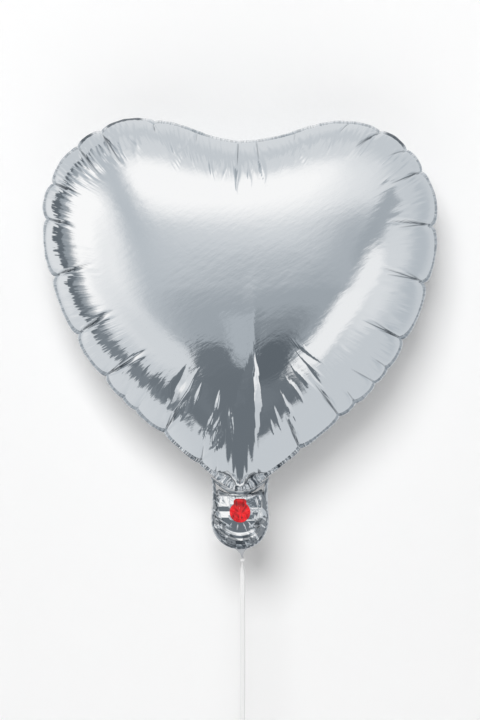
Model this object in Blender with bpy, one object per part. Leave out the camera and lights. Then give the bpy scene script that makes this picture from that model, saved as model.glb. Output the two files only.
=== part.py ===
"""A heart-shaped foil balloon with a self-sealing tail and a ribbon, as separate solids.

Metres, +Z up. The front faces -Y, and the two foil panels are welded to each other in the
plane Y = 0. The origin is the middle of the heart, where the air holds the balloon up.
"""

import math

import bmesh
import bpy
import numpy as np
from mathutils import Vector

MM = 0.001

# Heart, inflated. Each row is one Bezier span of the right half of the weld's outer edge, from
# the cleft down to the tip: start, start handle, end handle, end, as (x, z) in mm.
HEART_SPANS = (
    ((0, 127.5), (38, 127.5), (65, 150), (103, 150)),
    ((103, 150), (155, 150), (197, 101), (197, 58)),
    ((197, 58), (197, -50), (149, -114), (34, -200)),
    ((34, -200), (27, -205.3), (14, -220), (0, -220)),
)
# Tail tab, the same way, from under the heart's tip to the round foot, and its inflated middle.
TAIL_SPANS = (
    ((0, -220.4), (12, -220.4), (24, -212), (29, -206.5)),
    ((29, -206.5), (27.2, -216), (27.2, -230), (28.5, -243)),
    ((28.5, -243), (31, -262), (20, -279), (0, -279)),
)
TAIL_PANEL_SPANS = (
    ((0, -224.8), (8, -224.8), (15, -222.5), (19, -220)),
    ((19, -220), (25.5, -216), (23, -230), (24, -243)),
    ((24, -243), (26, -259), (17, -274.5), (0, -274.5)),
)
# Creases that cross the heart's weld: angle about the origin in degrees, how far the crease
# runs inwards, how deep its valley is, and how far the rim dips there, all in mm.
CREASES = (
    (12.6, 52, 4.0, 5.0),
    (28.4, 36, 3.0, 3.0),
    (35.9, 22, 2.0, 2.5),
    (45.0, 34, 3.0, 3.0),
    (54.1, 18, 1.5, 0.8),
    (69.2, 40, 2.5, 0.3),
    (83.0, 48, 3.0, 0.2),
    (90.8, 52, 3.5, 0.4),
    (107.5, 44, 2.5, 0.3),
    (119.9, 16, 1.5, 2.2),
    (134.8, 34, 3.0, 3.5),
    (142.7, 34, 2.5, 2.0),
    (155.2, 36, 3.0, 4.0),
    (165.6, 30, 2.5, 3.5),
    (182.2, 44, 3.5, 5.0),
    (202.1, 46, 3.5, 4.5),
    (218.5, 50, 3.5, 4.0),
    (227.3, 24, 1.5, 1.0),
    (233.2, 24, 1.5, 1.0),
    (244.7, 46, 3.0, 2.5),
    (257.8, 40, 3.0, 2.0),
    (262.5, 24, 1.5, 0.5),
    (276.0, 24, 1.5, 0.5),
    (288.9, 42, 3.0, 3.0),
    (304.3, 34, 2.5, 2.5),
    (311.1, 28, 2.0, 2.0),
    (319.9, 28, 2.0, 2.0),
    (326.4, 24, 1.5, 1.2),
    (336.6, 50, 3.5, 5.0),
    (355.7, 52, 4.0, 5.5),
)
RIM_STEP = 9.5 * MM
BULGE = 0.055
SHALLOW_DIP = 1 * MM
SPAN_STEPS = 48
TAIL_SPAN_STEPS = 9

# Film, drawn at a wall that can be handled and not at its real 0.05 mm.
WALL = 1.5 * MM
WELD_THICK = 1.2 * MM
GAP = 0.3 * MM
LAP = 2 * MM
PANEL_Y = WELD_THICK / 2 + GAP

# The heart's bulge. Its contours turn from the rim's shape into an ellipse further in.
HEART_CENTRE = (0, -10 * MM)
HEART_ELLIPSE = (165 * MM, 150 * MM)
HEART_HEIGHT = 88 * MM
HEART_WELD = 3 * MM
HEART_RINGS = (1, 0.985, 0.94, 0.87, 0.77, 0.64, 0.48, 0.3, 0.14)
HEART_LINING = (1, 0.95, 0.82, 0.6, 0.3)
RIM_SHAPE_FADE = 3
FILM_SCALE = 200 * MM
FILM_TERMS = 24
FILM_POWER = 1.4
TIP_THINNING = 0.3
THINNING_FROM_Z = -20 * MM
THINNING_TO_Z = -220 * MM

# The tail's bulge, with a flat stretch in the middle for the valve.
TAIL_CENTRE = (0, -246 * MM)
TAIL_ELLIPSE = (21 * MM, 25 * MM)
TAIL_HEIGHT = 6.5 * MM
TAIL_FLAT = 0.55
TAIL_POWER = 2.8
TAIL_RINGS = (1, 0.97, 0.88, 0.74, TAIL_FLAT)
TAIL_LINING = (1, 0.8, TAIL_FLAT)

# Valve patch: a disc with a short neck, and the lip of its filling port.
PATCH_CENTRE_Z = -244 * MM
PATCH_RADIUS = 10.5 * MM
PATCH_NECK_HALF = 6 * MM
PATCH_TOP_Z = -229.5 * MM
PATCH_THICK = 1.5 * MM
PATCH_BEVEL = 0.4 * MM
PATCH_ARC_STEPS = 28
PORT_RADIUS = 3 * MM
PORT_HEIGHT = 1 * MM
PORT_STEPS = 20

# Gathered foot of the tail, to which the ribbon is tied.
TIP_TOP_Z = -275.5 * MM
TIP_END_Z = -288 * MM
TIP_TOP_HALF = 9.5 * MM
TIP_END_HALF = 1.3 * MM
TIP_THICK = 1.2 * MM
TIP_ROWS = 7
TIP_FLARE = 2.2

# Ribbon, held taut straight down from the tip, as (x, y, z) in metres down its middle.
RIBBON_ROUTE = (
    (0.0025, 0.0015, -0.2922),
    (0.0025, 0.0015, -0.3100),
    (0.0026, 0.0015, -0.3400),
    (0.0027, 0.0015, -0.3700),
    (0.0027, 0.0015, -0.4000),
    (0.0026, 0.0015, -0.4300),
    (0.0025, 0.0015, -0.4590),
)
RIBBON_WIDTH = 5 * MM
RIBBON_THICK = 0.6 * MM
RIBBON_PER_SPAN = 4
RIBBON_TURN = 12
RIBBON_TWIST = 66
RIBBON_TWIST_RUN = 16 * MM
KNOT_RADII = (2.4 * MM, 2.0 * MM, 1.8 * MM)
LOOP_RADII = (7.5 * MM, 12 * MM)
LOOP_STEPS = 32
LOOP_PINCH = 0.45

# Finishes: base colour, metallic, roughness.
FINISHES = {
    "silver_foil": ((0.77, 0.79, 0.82), 1.0, 0.16),
    "foil_weld": ((0.70, 0.72, 0.75), 1.0, 0.24),
    "red_film": ((0.78, 0.02, 0.03), 0.3, 0.2),
    "grey_film": ((0.55, 0.55, 0.56), 0.2, 0.4),
    "white_ribbon": ((0.92, 0.92, 0.93), 0.0, 0.35),
}


def clear_scene():
    for thing in list(bpy.data.objects):
        bpy.data.objects.remove(thing, do_unlink=True)


def finish(name):
    """The material of that name, made once."""
    found = bpy.data.materials.get(name)
    if found:
        return found
    colour, metallic, roughness = FINISHES[name]
    made = bpy.data.materials.new(name)
    made.use_nodes = True
    shader = made.node_tree.nodes["Principled BSDF"]
    shader.inputs["Base Color"].default_value = (*colour, 1)
    shader.inputs["Metallic"].default_value = metallic
    shader.inputs["Roughness"].default_value = roughness
    made.diffuse_color = (*colour, 1)
    return made


def add_object(name, bm, material, at=(0, 0, 0)):
    """Closes a bmesh into a smooth-shaded object with its faces pointing out."""
    bmesh.ops.recalc_face_normals(bm, faces=bm.faces)
    mesh = bpy.data.meshes.new(name)
    bm.to_mesh(mesh)
    bm.free()
    mesh.shade_smooth()
    mesh.set_sharp_from_angle(angle=math.radians(40))
    mesh.materials.append(finish(material))
    made = bpy.data.objects.new(name, mesh)
    made.location = at
    bpy.context.scene.collection.objects.link(made)
    return made


def bezier(span, t):
    start, start_handle, end_handle, end = (Vector(p) for p in span)
    s = 1 - t
    return s**3 * start + 3 * s * s * t * start_handle + 3 * s * t * t * end_handle + t**3 * end


def mirrored_outline(spans, steps):
    """The whole outline, anticlockwise from the top middle, as (x, z) vectors in metres."""
    right = [bezier(span, i / steps) * MM for span in spans for i in range(steps)]
    right.append(Vector(spans[-1][-1]) * MM)
    left = [Vector((-p.x, p.y)) for p in right]
    return left + right[-2:0:-1]


def lengths_along(points):
    """Running length at each point of a closed outline, with the whole length last."""
    runs = [0.0]
    for a, b in zip(points, points[1:] + points[:1]):
        runs.append(runs[-1] + (b - a).length)
    return runs


def point_at(points, runs, distance):
    """The point at that distance along a closed outline."""
    distance %= runs[-1]
    low = max(i for i in range(len(points)) if runs[i] <= distance)
    share = (distance - runs[low]) / (runs[low + 1] - runs[low])
    return points[low].lerp(points[(low + 1) % len(points)], share)


def outward(points):
    """Unit vectors that point out of an anticlockwise outline."""
    count = len(points)
    along = [points[(i + 1) % count] - points[i - 1] for i in range(count)]
    return [Vector((a.y, -a.x)).normalized() for a in along]


def inset(points, amount):
    return [p - n * amount for p, n in zip(points, outward(points))]


def crease_stations(points, runs):
    """Each crease with its distance along the outline, sorted by that distance."""
    found = []
    for angle, reach, depth, dip in CREASES:
        ray = Vector((math.cos(math.radians(angle)), math.sin(math.radians(angle))))
        nearest = max(range(len(points)), key=lambda i: points[i].normalized().dot(ray))
        found.append((runs[nearest], reach * MM, depth * MM, dip * MM))
    return sorted(found)


class RimPoint:
    """A point of the heart's rim, before and after scalloping, with the crease that ends there."""

    def __init__(self, smooth, point, reach, depth):
        self.smooth = smooth
        self.point = point
        self.reach = reach
        self.depth = depth

    def moved_in(self, side, amount):
        return RimPoint(self.smooth - side * amount, self.point - side * amount, self.reach, self.depth)


def scalloped_rim():
    """The heart's rim, with a point on every crease.

    Between two deep dips the rim swells into a shallow arc.
    """
    points = mirrored_outline(HEART_SPANS, SPAN_STEPS)
    runs = lengths_along(points)
    stations = crease_stations(points, runs)
    rim = []
    for this, after in zip(stations, stations[1:] + stations[:1]):
        length = (after[0] - this[0]) % runs[-1]
        steps = max(2, round(length / RIM_STEP))
        shallow = min(this[3], after[3]) < SHALLOW_DIP
        swell = 0.0 if shallow else BULGE * length
        for k in range(steps):
            t = k / steps
            ahead = point_at(points, runs, this[0] + t * length + RIM_STEP / 4)
            here = point_at(points, runs, this[0] + t * length)
            side = Vector(((ahead - here).y, -(ahead - here).x)).normalized()
            shift = swell * math.sin(math.pi * t) - this[3] * (1 - t) ** 4 - after[3] * t**4
            rim.append(RimPoint(here, here + side * shift, this[1], this[2] if k == 0 else 0.0))
    return rim


def rim_inset(rim, amount):
    sides = outward([row.point for row in rim])
    return [row.moved_in(side, amount) for row, side in zip(rim, sides)]


class SoapFilm:
    """The height of a film blown up gently over an outline, as a share of its peak.

    Under pressure such a film solves a Laplace equation once a paraboloid is taken away. The
    rest is a sum of harmonic terms about the origin, fitted to the outline by least squares.
    The outline is the same left and right, so each term is even across the X = 0 plane.
    """

    def __init__(self, outline):
        goal = [p.length_squared / 4 for p in outline]
        rows = np.array([self.terms(p) for p in outline])
        self.weights = np.linalg.lstsq(rows, np.array(goal), rcond=None)[0]
        middle = [Vector((0, z * FILM_SCALE)) for z in np.linspace(-0.4, 0.4, 81)]
        self.peak = max(self.raw(p) for p in middle)

    @staticmethod
    def terms(point):
        turned = complex(point.y, -point.x) / FILM_SCALE
        return [(turned**k).real for k in range(FILM_TERMS + 1)]

    def raw(self, point):
        return float(np.dot(self.weights, self.terms(point))) - point.length_squared / 4

    def share(self, point):
        return self.raw(point) / self.peak


def foil_height(share):
    """Turns a film's share of its peak into that of foil, which is steeper at the rim."""
    return math.sqrt(1 - (1 - min(max(share, 0.0), 1.0)) ** FILM_POWER)


def thinning(z):
    """The share of its height that the heart keeps at a level, less towards its tip."""
    way_down = (THINNING_FROM_Z - z) / (THINNING_FROM_Z - THINNING_TO_Z)
    return 1 - TIP_THINNING * min(max(way_down, 0.0), 1.0) ** 1.5


def contour_point(rim_point, f, centre, ellipse):
    """The point a share f of the way from the centre to a rim point, on its own contour."""
    middle = Vector(centre)
    arm = rim_point - middle
    angle = math.atan2(arm.y * ellipse[0], arm.x * ellipse[1])
    oval = Vector((ellipse[0] * math.cos(angle), ellipse[1] * math.sin(angle)))
    return middle + f * oval.lerp(arm, f**RIM_SHAPE_FADE)


def heart_contour(rim, film, f, height, side):
    """One contour of a heart panel, with the creases' valleys and the rim's scallops in it."""
    ring = []
    for row in rim:
        flat = contour_point(row.smooth, f, HEART_CENTRE, HEART_ELLIPSE)
        share = film.share(flat) - film.share(row.smooth) * f * f
        valley = row.depth * max(0.0, 1 - (1 - f) * row.smooth.length / row.reach) * (1 - f**8)
        bulge = height * foil_height(share) * thinning(flat.y)
        lift = PANEL_Y + max(0.0, bulge - valley)
        flat += (row.point - row.smooth) * f**4
        ring.append(Vector((flat.x, side * lift, flat.y)))
    return ring


def tail_contour(outline, f, height, side):
    """One contour of a tail panel, flat on top inside the share TAIL_FLAT."""
    share = max(0.0, (f - TAIL_FLAT) / (1 - TAIL_FLAT))
    lift = PANEL_Y + height * math.sqrt(1 - share**TAIL_POWER)
    flats = [contour_point(p, f, TAIL_CENTRE, TAIL_ELLIPSE) for p in outline]
    return [Vector((flat.x, side * lift, flat.y)) for flat in flats]


def loft(bm, rings, closing_point=None):
    """Skins a list of closed rings of equal count, with a fan to a point after the last."""
    made = [[bm.verts.new(p) for p in ring] for ring in rings]
    for low, high in zip(made, made[1:]):
        for i in range(len(low)):
            j = (i + 1) % len(low)
            bm.faces.new((low[i], low[j], high[j], high[i]))
    if closing_point is not None:
        tip = bm.verts.new(closing_point)
        last = made[-1]
        for i in range(len(last)):
            bm.faces.new((last[i], last[(i + 1) % len(last)], tip))
    return made


def foil_panel(name, outer, inner, crown, side):
    """A hollow bulging sheet from its outer and its inner contours, joined at a flat rim."""
    bm = bmesh.new()
    outer_skin = loft(bm, outer, crown)
    inner_skin = loft(bm, inner, crown - Vector((0, side * WALL, 0)))
    for i in range(len(outer[0])):
        j = (i + 1) % len(outer[0])
        bm.faces.new((outer_skin[0][i], outer_skin[0][j], inner_skin[0][j], inner_skin[0][i]))
    return add_object(name, bm, "silver_foil")


def weld_band(name, outer, inner):
    """The flat band where the two sheets are welded to each other, between two outlines."""
    half = WELD_THICK / 2
    bm = bmesh.new()
    loops = ((outer, -half), (outer, half), (inner, half), (inner, -half))
    rings = [[Vector((p.x, y, p.y)) for p in points] for points, y in loops]
    made = loft(bm, rings)
    for i in range(len(outer)):
        j = (i + 1) % len(outer)
        bm.faces.new((made[-1][i], made[-1][j], made[0][j], made[0][i]))
    return add_object(name, bm, "foil_weld")


def build_heart():
    rim = scalloped_rim()
    outline = [row.point for row in rim]
    weld_band("envelope_weld", outline, inset(outline, HEART_WELD + LAP))
    rim = rim_inset(rim, HEART_WELD)
    lining = rim_inset(rim, WALL)
    film = SoapFilm([row.smooth for row in rim])
    top = foil_height(film.share(Vector(HEART_CENTRE))) * HEART_HEIGHT
    for name, side in (("envelope_front", -1), ("envelope_back", 1)):
        outer = [heart_contour(rim, film, f, HEART_HEIGHT, side) for f in HEART_RINGS]
        inner = [heart_contour(lining, film, f, HEART_HEIGHT - WALL, side) for f in HEART_LINING]
        crown = Vector((HEART_CENTRE[0], side * (PANEL_Y + top), HEART_CENTRE[1]))
        foil_panel(name, outer, inner, crown, side)


def build_tail():
    outline = mirrored_outline(TAIL_PANEL_SPANS, TAIL_SPAN_STEPS)
    weld_band("tail_weld", mirrored_outline(TAIL_SPANS, TAIL_SPAN_STEPS), inset(outline, LAP))
    lining = inset(outline, WALL)
    for name, side in (("tail_front", -1), ("tail_back", 1)):
        outer = [tail_contour(outline, f, TAIL_HEIGHT, side) for f in TAIL_RINGS]
        inner = [tail_contour(lining, f, TAIL_HEIGHT - WALL, side) for f in TAIL_LINING]
        crown = Vector((TAIL_CENTRE[0], side * (PANEL_Y + TAIL_HEIGHT), TAIL_CENTRE[1]))
        foil_panel(name, outer, inner, crown, side)


def build_valve():
    """The red film patch on the tail's front, and the round lip of the port in its middle."""
    neck_angle = math.asin(PATCH_NECK_HALF / PATCH_RADIUS)
    sweep = 2 * math.pi - 2 * neck_angle
    outline = []
    for k in range(PATCH_ARC_STEPS + 1):
        angle = math.pi / 2 + neck_angle + sweep * k / PATCH_ARC_STEPS
        x = PATCH_RADIUS * math.cos(angle)
        outline.append((x, PATCH_CENTRE_Z + PATCH_RADIUS * math.sin(angle)))
    outline += [(PATCH_NECK_HALF, PATCH_TOP_Z), (-PATCH_NECK_HALF, PATCH_TOP_Z)]
    seat = -(PANEL_Y + TAIL_HEIGHT + GAP)
    bm = bmesh.new()
    back = bm.faces.new([bm.verts.new((x, seat, z)) for x, z in outline])
    raised = bmesh.ops.extrude_face_region(bm, geom=[back])["geom"]
    moved = [v for v in raised if isinstance(v, bmesh.types.BMVert)]
    bmesh.ops.translate(bm, verts=moved, vec=(0, -PATCH_THICK, 0))
    front = [e for e in bm.edges if all(v in moved for v in e.verts)]
    bmesh.ops.bevel(
        bm, geom=front, offset=PATCH_BEVEL, segments=2, profile=0.5, affect="EDGES", material=-1
    )
    add_object("valve_patch", bm, "red_film")

    bm = bmesh.new()
    bmesh.ops.create_cone(
        bm,
        cap_ends=True,
        segments=PORT_STEPS,
        radius1=PORT_RADIUS,
        radius2=PORT_RADIUS,
        depth=PORT_HEIGHT,
    )
    port_y = seat - PATCH_THICK - GAP - PORT_HEIGHT / 2
    port = add_object("valve_port", bm, "red_film", (0, port_y, PATCH_CENTRE_Z))
    port.rotation_euler.x = math.pi / 2


def build_tip():
    """The gathered film behind the tail's foot, narrowing to the point where the ribbon ties."""
    bm = bmesh.new()
    rows = []
    for k in range(TIP_ROWS):
        t = k / (TIP_ROWS - 1)
        half = TIP_END_HALF + (TIP_TOP_HALF - TIP_END_HALF) * (1 - t) ** TIP_FLARE
        middle = RIBBON_ROUTE[0][0] * t
        z = TIP_TOP_Z + (TIP_END_Z - TIP_TOP_Z) * t
        near, far = PANEL_Y, PANEL_Y + TIP_THICK
        corners = ((-half, near), (half, near), (half, far), (-half, far))
        rows.append([Vector((middle + x, y, z)) for x, y in corners])
    made = loft(bm, rows)
    bm.faces.new(made[0])
    bm.faces.new(made[-1])
    add_object("tail_tip", bm, "grey_film")


def build_knot(name, middle):
    bm = bmesh.new()
    bmesh.ops.create_uvsphere(bm, u_segments=14, v_segments=9, radius=1)
    bmesh.ops.scale(bm, vec=KNOT_RADII, verts=bm.verts)
    add_object(name, bm, "white_ribbon", middle)


def smooth_route(route, per_span):
    """Points on a smooth curve through all the route's points."""
    knots = [Vector(p) for p in route]
    knots = [2 * knots[0] - knots[1]] + knots + [2 * knots[-1] - knots[-2]]
    found = []
    for i in range(1, len(knots) - 2):
        start_tangent = (knots[i + 1] - knots[i - 1]) / 2
        end_tangent = (knots[i + 2] - knots[i]) / 2
        for k in range(per_span):
            t = k / per_span
            start = knots[i] * (2 * t**3 - 3 * t**2 + 1) + start_tangent * (t**3 - 2 * t**2 + t)
            found.append(start + knots[i + 1] * (3 * t**2 - 2 * t**3) + end_tangent * (t**3 - t**2))
    return found + [knots[-2]]


def build_ribbon():
    """The flat ribbon, its two knots, and the loop it is held by."""
    middles = smooth_route(RIBBON_ROUTE, RIBBON_PER_SPAN)
    bm = bmesh.new()
    rows = []
    for middle in middles:
        near_knot = max(0.0, 1 - (middles[0].z - middle.z) / RIBBON_TWIST_RUN)
        turn = math.radians(RIBBON_TURN + RIBBON_TWIST * near_knot**2)
        wide = Vector((math.cos(turn), math.sin(turn), 0)) * RIBBON_WIDTH / 2
        thin = Vector((-math.sin(turn), math.cos(turn), 0)) * RIBBON_THICK / 2
        corners = (-wide - thin, wide - thin, wide + thin, thin - wide)
        rows.append([middle + corner for corner in corners])
    made = loft(bm, rows)
    bm.faces.new(made[0])
    bm.faces.new(made[-1])
    add_object("ribbon", bm, "white_ribbon")

    to_knot = Vector((0, 0, GAP + KNOT_RADII[2]))
    build_knot("ribbon_knot", middles[0] + to_knot)
    build_knot("ribbon_end_knot", middles[-1] - to_knot)
    build_loop(middles[-1] - 2 * to_knot)


def build_loop(top):
    """The hand loop under the end knot, pinched narrow where it leaves the knot."""
    bm = bmesh.new()
    half_width = RIBBON_WIDTH / 2
    rings = []
    for shrink, y in ((0, -half_width), (0, half_width), (1, half_width), (1, -half_width)):
        wide, tall = (r - shrink * RIBBON_THICK for r in LOOP_RADII)
        ring = []
        for k in range(LOOP_STEPS):
            angle = 2 * math.pi * k / LOOP_STEPS
            pinch = 1 - LOOP_PINCH * max(0.0, math.sin(angle)) ** 2
            ring.append(Vector((wide * math.cos(angle) * pinch, y, tall * math.sin(angle))))
        rings.append(ring)
    made = loft(bm, rings)
    for i in range(LOOP_STEPS):
        j = (i + 1) % LOOP_STEPS
        bm.faces.new((made[-1][i], made[-1][j], made[0][j], made[0][i]))
    add_object("ribbon_end_loop", bm, "white_ribbon", top - Vector((0, 0, LOOP_RADII[1])))


def main():
    clear_scene()
    build_heart()
    build_tail()
    build_valve()
    build_tip()
    build_ribbon()


main()
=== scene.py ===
"""Looks for a heart-shaped foil balloon: mirror foil, welded seam, valve tab and ribbon.

Metres, +Z up. The front of the balloon faces -Y, and its two films are welded in the plane
Y = 0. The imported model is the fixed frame, and each piece here stands for one of its nodes.
"""

from __future__ import annotations

import logging
import math
from dataclasses import dataclass, field
from enum import Enum

import bmesh
import bpy
import numpy as np
from mathutils import Matrix, Vector

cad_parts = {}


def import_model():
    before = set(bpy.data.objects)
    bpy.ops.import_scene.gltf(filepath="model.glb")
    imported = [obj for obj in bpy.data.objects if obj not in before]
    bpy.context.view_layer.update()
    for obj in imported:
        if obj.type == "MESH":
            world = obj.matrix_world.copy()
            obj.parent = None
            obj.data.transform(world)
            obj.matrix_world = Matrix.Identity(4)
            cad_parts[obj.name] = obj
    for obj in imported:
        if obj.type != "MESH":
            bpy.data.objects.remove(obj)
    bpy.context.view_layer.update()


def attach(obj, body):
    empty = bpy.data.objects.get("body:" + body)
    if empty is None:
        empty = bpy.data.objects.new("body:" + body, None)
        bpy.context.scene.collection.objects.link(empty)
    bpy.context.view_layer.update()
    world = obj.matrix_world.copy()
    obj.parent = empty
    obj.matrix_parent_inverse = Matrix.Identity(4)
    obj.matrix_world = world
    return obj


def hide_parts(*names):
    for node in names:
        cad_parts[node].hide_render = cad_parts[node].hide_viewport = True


MM = 0.001
LOG = logging.getLogger("balloon")

Array = np.ndarray
Mesh = bmesh.types.BMesh
Material = bpy.types.Material
Socket = bpy.types.NodeSocket
Pair = tuple[float, float]
Pairs = tuple[Pair, ...]
Triple = tuple[float, float, float]
Sockets = bpy.types.bpy_prop_collection
Layers = tuple[tuple[int, float, float], ...]

# How close two vertices of a seam stand before they are merged.
SEAM_GAP = 1e-7

# How far each film's rows run towards its crown, as a share of a quarter turn.
CROWN_TURN = 0.985

# Where along a fold its height peaks, and how wide its ends are, as shares.
FOLD_PEAK = 0.4
FOLD_END_WIDTH = 0.12

# Right half of each outline from top to bottom, one Bezier span a row, as (x, z) in mm.
HEART_SPANS: tuple[Pairs, ...] = (
    ((0, 127.5), (38, 127.5), (65, 150), (103, 150)),
    ((103, 150), (155, 150), (197, 101), (197, 58)),
    ((197, 58), (197, -50), (149, -114), (34, -200)),
    ((34, -200), (27, -205.3), (14, -220), (0, -220)),
)
TAB_SPANS: tuple[Pairs, ...] = (
    ((0, -220.4), (12, -220.4), (24, -212), (29, -206.5)),
    ((29, -206.5), (27.2, -216), (27.2, -230), (28.5, -243)),
    ((28.5, -243), (31, -262), (20, -279), (0, -279)),
)
TAB_FILM_SPANS: tuple[Pairs, ...] = (
    ((0, -224.8), (8, -224.8), (15, -222.5), (19, -220)),
    ((19, -220), (25.5, -216), (23, -230), (24, -243)),
    ((24, -243), (26, -259), (17, -274.5), (0, -274.5)),
)

# Points down the middle of the ribbon, from its knot to its end knot.
RIBBON_ROUTE: tuple[Triple, ...] = (
    (0.0025, 0.0015, -0.2922),
    (0.0025, 0.0015, -0.3100),
    (0.0026, 0.0015, -0.3400),
    (0.0027, 0.0015, -0.3700),
    (0.0027, 0.0015, -0.4000),
    (0.0026, 0.0015, -0.4300),
    (0.0025, 0.0015, -0.4590),
)


class Side(Enum):
    """Which way a film bulges."""

    FRONT = -1
    BACK = 1


@dataclass(frozen=True)
class Crease:
    """A fold across the heart's weld.

    Attributes:
        angle: Where it crosses the weld, in degrees about the origin.
        reach: How far it runs inwards, in mm.
        depth: How deep its valley is at the weld, in mm.
        dip: How far the rim dips in there, in mm.
        lean: Sideways drift for each mm inwards, anticlockwise.
    """

    angle: float
    reach: float
    depth: float
    dip: float
    lean: float = 0.0


CREASES: tuple[Crease, ...] = (
    Crease(12.6, 50, 1.9, 5.0, 0.28),
    Crease(28.4, 36, 1.5, 3.0, 0.10),
    Crease(35.9, 20, 0.9, 2.5, 0.25),
    Crease(45.0, 30, 1.4, 3.0, 0.20),
    Crease(54.1, 14, 0.7, 0.8, 0.10),
    Crease(69.2, 14, 0.5, 0.3, -0.30),
    Crease(83.0, 24, 0.8, 0.2, -0.20),
    Crease(90.8, 26, 0.9, 0.4, 0.05),
    Crease(107.5, 12, 0.4, 0.3, 0.30),
    Crease(119.9, 13, 1.2, 2.6, 0.35),
    Crease(134.8, 46, 1.6, 3.5, 0.19),
    Crease(142.7, 40, 1.1, 2.0, 0.22),
    Crease(155.2, 36, 1.6, 4.0, -0.05),
    Crease(165.6, 30, 1.4, 3.5, 0.00),
    Crease(182.2, 44, 1.8, 5.0, -0.27),
    Crease(202.1, 48, 1.8, 4.5, -0.22),
    Crease(218.5, 50, 1.8, 4.0, 0.07),
    Crease(227.3, 7, 0.2, 1.0, 0.10),
    Crease(233.2, 7, 0.2, 1.0, 0.10),
    Crease(244.7, 34, 1.4, 2.5, 0.10),
    Crease(257.8, 18, 0.9, 2.0, 0.00),
    Crease(262.5, 8, 0.5, 0.5, 0.00),
    Crease(276.0, 8, 0.5, 0.5, 0.00),
    Crease(288.9, 36, 1.5, 3.0, -0.10),
    Crease(304.3, 40, 1.1, 2.5, -0.05),
    Crease(311.1, 12, 0.6, 2.0, 0.10),
    Crease(319.9, 24, 0.8, 2.0, -0.20),
    Crease(326.4, 12, 0.6, 1.2, 0.00),
    Crease(336.6, 44, 1.7, 5.0, 0.05),
    Crease(355.7, 48, 1.9, 5.5, 0.25),
)

# How far the rim strays outwards from the smooth outline, as degrees about the origin and mm.
RIM_TREND: Pairs = (
    (0, 0.0),
    (12, 0.0),
    (22, -2.0),
    (34, 0.0),
    (55, -0.8),
    (70, -0.8),
    (84, 1.8),
    (100, 2.4),
    (113, 4.2),
    (122, 1.0),
    (130, -0.5),
    (150, -1.2),
    (165, -0.4),
    (182, -1.0),
    (191, -3.6),
    (203, -1.6),
    (215, -1.2),
    (228, 0.5),
    (241, -1.6),
    (251, -2.4),
    (259, 0.0),
    (283, 1.5),
    (296, -0.3),
    (304, 1.8),
    (318, 4.0),
    (327, 3.6),
    (337, 0.8),
    (350, -0.6),
)


@dataclass(frozen=True)
class Fold:
    """A straight ridge in a film, named by its ends in plan.

    Attributes:
        start: Its upper end, as (x, z) in mm.
        end: Its lower end, as (x, z) in mm.
        height: Its height in mm, negative for a valley.
        left: How far its slope reaches to the left, in mm.
        right: How far its slope reaches to the right, in mm.
    """

    start: Pair
    end: Pair
    height: float
    left: float
    right: float


# The long ridge above the tip, the leaf-shaped folds beside it, and the short folds under the cleft.
HEART_FOLDS: tuple[Fold, ...] = (
    Fold((14, 0), (14, -80), 0.5, 14, 12),
    Fold((15, -172), (13, -76), 2.4, 7.5, 21),
    Fold((-52, -98), (-72, -139), -1.9, 8, 6.5),
    Fold((-40, -101), (-68, -144), 1.6, 6.5, 2.2),
    Fold((-50, -126), (-60, -152), -1.0, 5, 4),
    Fold((-37, -114), (-46, -138), 1.0, 3.2, 2),
    Fold((-20, -119), (-23, -147), 1.4, 2.8, 2.2),
    Fold((-12, -134), (-6, -168), 1.5, 2.6, 2.4),
    Fold((-17, -142), (-31, -176), 1.4, 3.6, 2.4),
    Fold((-24, -140), (-37, -170), 1.1, 2.6, 2),
    Fold((-12, -162), (-40, -190), 1.5, 4.2, 2.6),
    Fold((-20, -150), (-30, -182), -0.8, 2.4, 2.4),
    Fold((38, -122), (62, -160), 1.0, 2.4, 3),
    Fold((44, -108), (72, -142), 1.0, 2.4, 3),
    Fold((50, -97), (84, -130), 1.0, 2.4, 3),
    Fold((56, -86), (88, -112), 0.9, 2.4, 3),
    Fold((64, -96), (86, -122), -0.8, 2.4, 2.4),
    Fold((30, -132), (47, -170), 0.9, 2.4, 2.6),
    Fold((24, -142), (40, -172), 0.8, 2.0, 2.2),
    Fold((50, -72), (84, -94), 0.7, 2.4, 2.6),
    Fold((-3, 72), (0, 124), 2.3, 3, 4),
    Fold((26, 76), (15, 124), 2.0, 3.2, 3.6),
    Fold((67, 100), (52, 128), 1.5, 2.8, 3.4),
    Fold((-66, 94), (-45, 136), 1.6, 3, 3.6),
    Fold((-18, 78), (-8, 114), 1.3, 2.2, 2.6),
    Fold((-28, 84), (-15, 118), 1.0, 2.2, 2.4),
    Fold((11, 76), (8, 108), 1.1, 2.2, 2.4),
)

# Folds of the tab's front film: facets beside the valve, and thin strokes that fan out below it.
TAB_FOLDS: tuple[Fold, ...] = (
    Fold((-25, -224), (-19, -237), -1.1, 3, 1.2),
    Fold((-18, -224), (-13, -236), -1.0, 2.6, 1.2),
    Fold((-12, -225), (-10, -235), 0.7, 1.6, 1.6),
    Fold((-21, -238), (-21, -262), 1.2, 2.2, 2.6),
    Fold((-25, -240), (-25, -258), -0.9, 1.6, 1.8),
    Fold((19, -240), (20, -262), 1.4, 3.2, 2.2),
    Fold((15, -243), (17, -256), 0.9, 2.0, 1.4),
    Fold((24, -228), (25, -256), -0.9, 1.8, 1.6),
    Fold((15, -224), (19, -240), 0.5, 0.9, 0.9),
    Fold((3, -252), (7, -262), 0.35, 0.8, 0.7),
    Fold((7, -250), (13, -259), 0.45, 0.9, 0.8),
    Fold((11, -247), (18, -252), 0.45, 0.9, 0.8),
    Fold((-2, -253), (-3, -262), 0.3, 0.7, 0.7),
    Fold((-7, -251), (-12, -259), 0.3, 0.7, 0.7),
)

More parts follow.
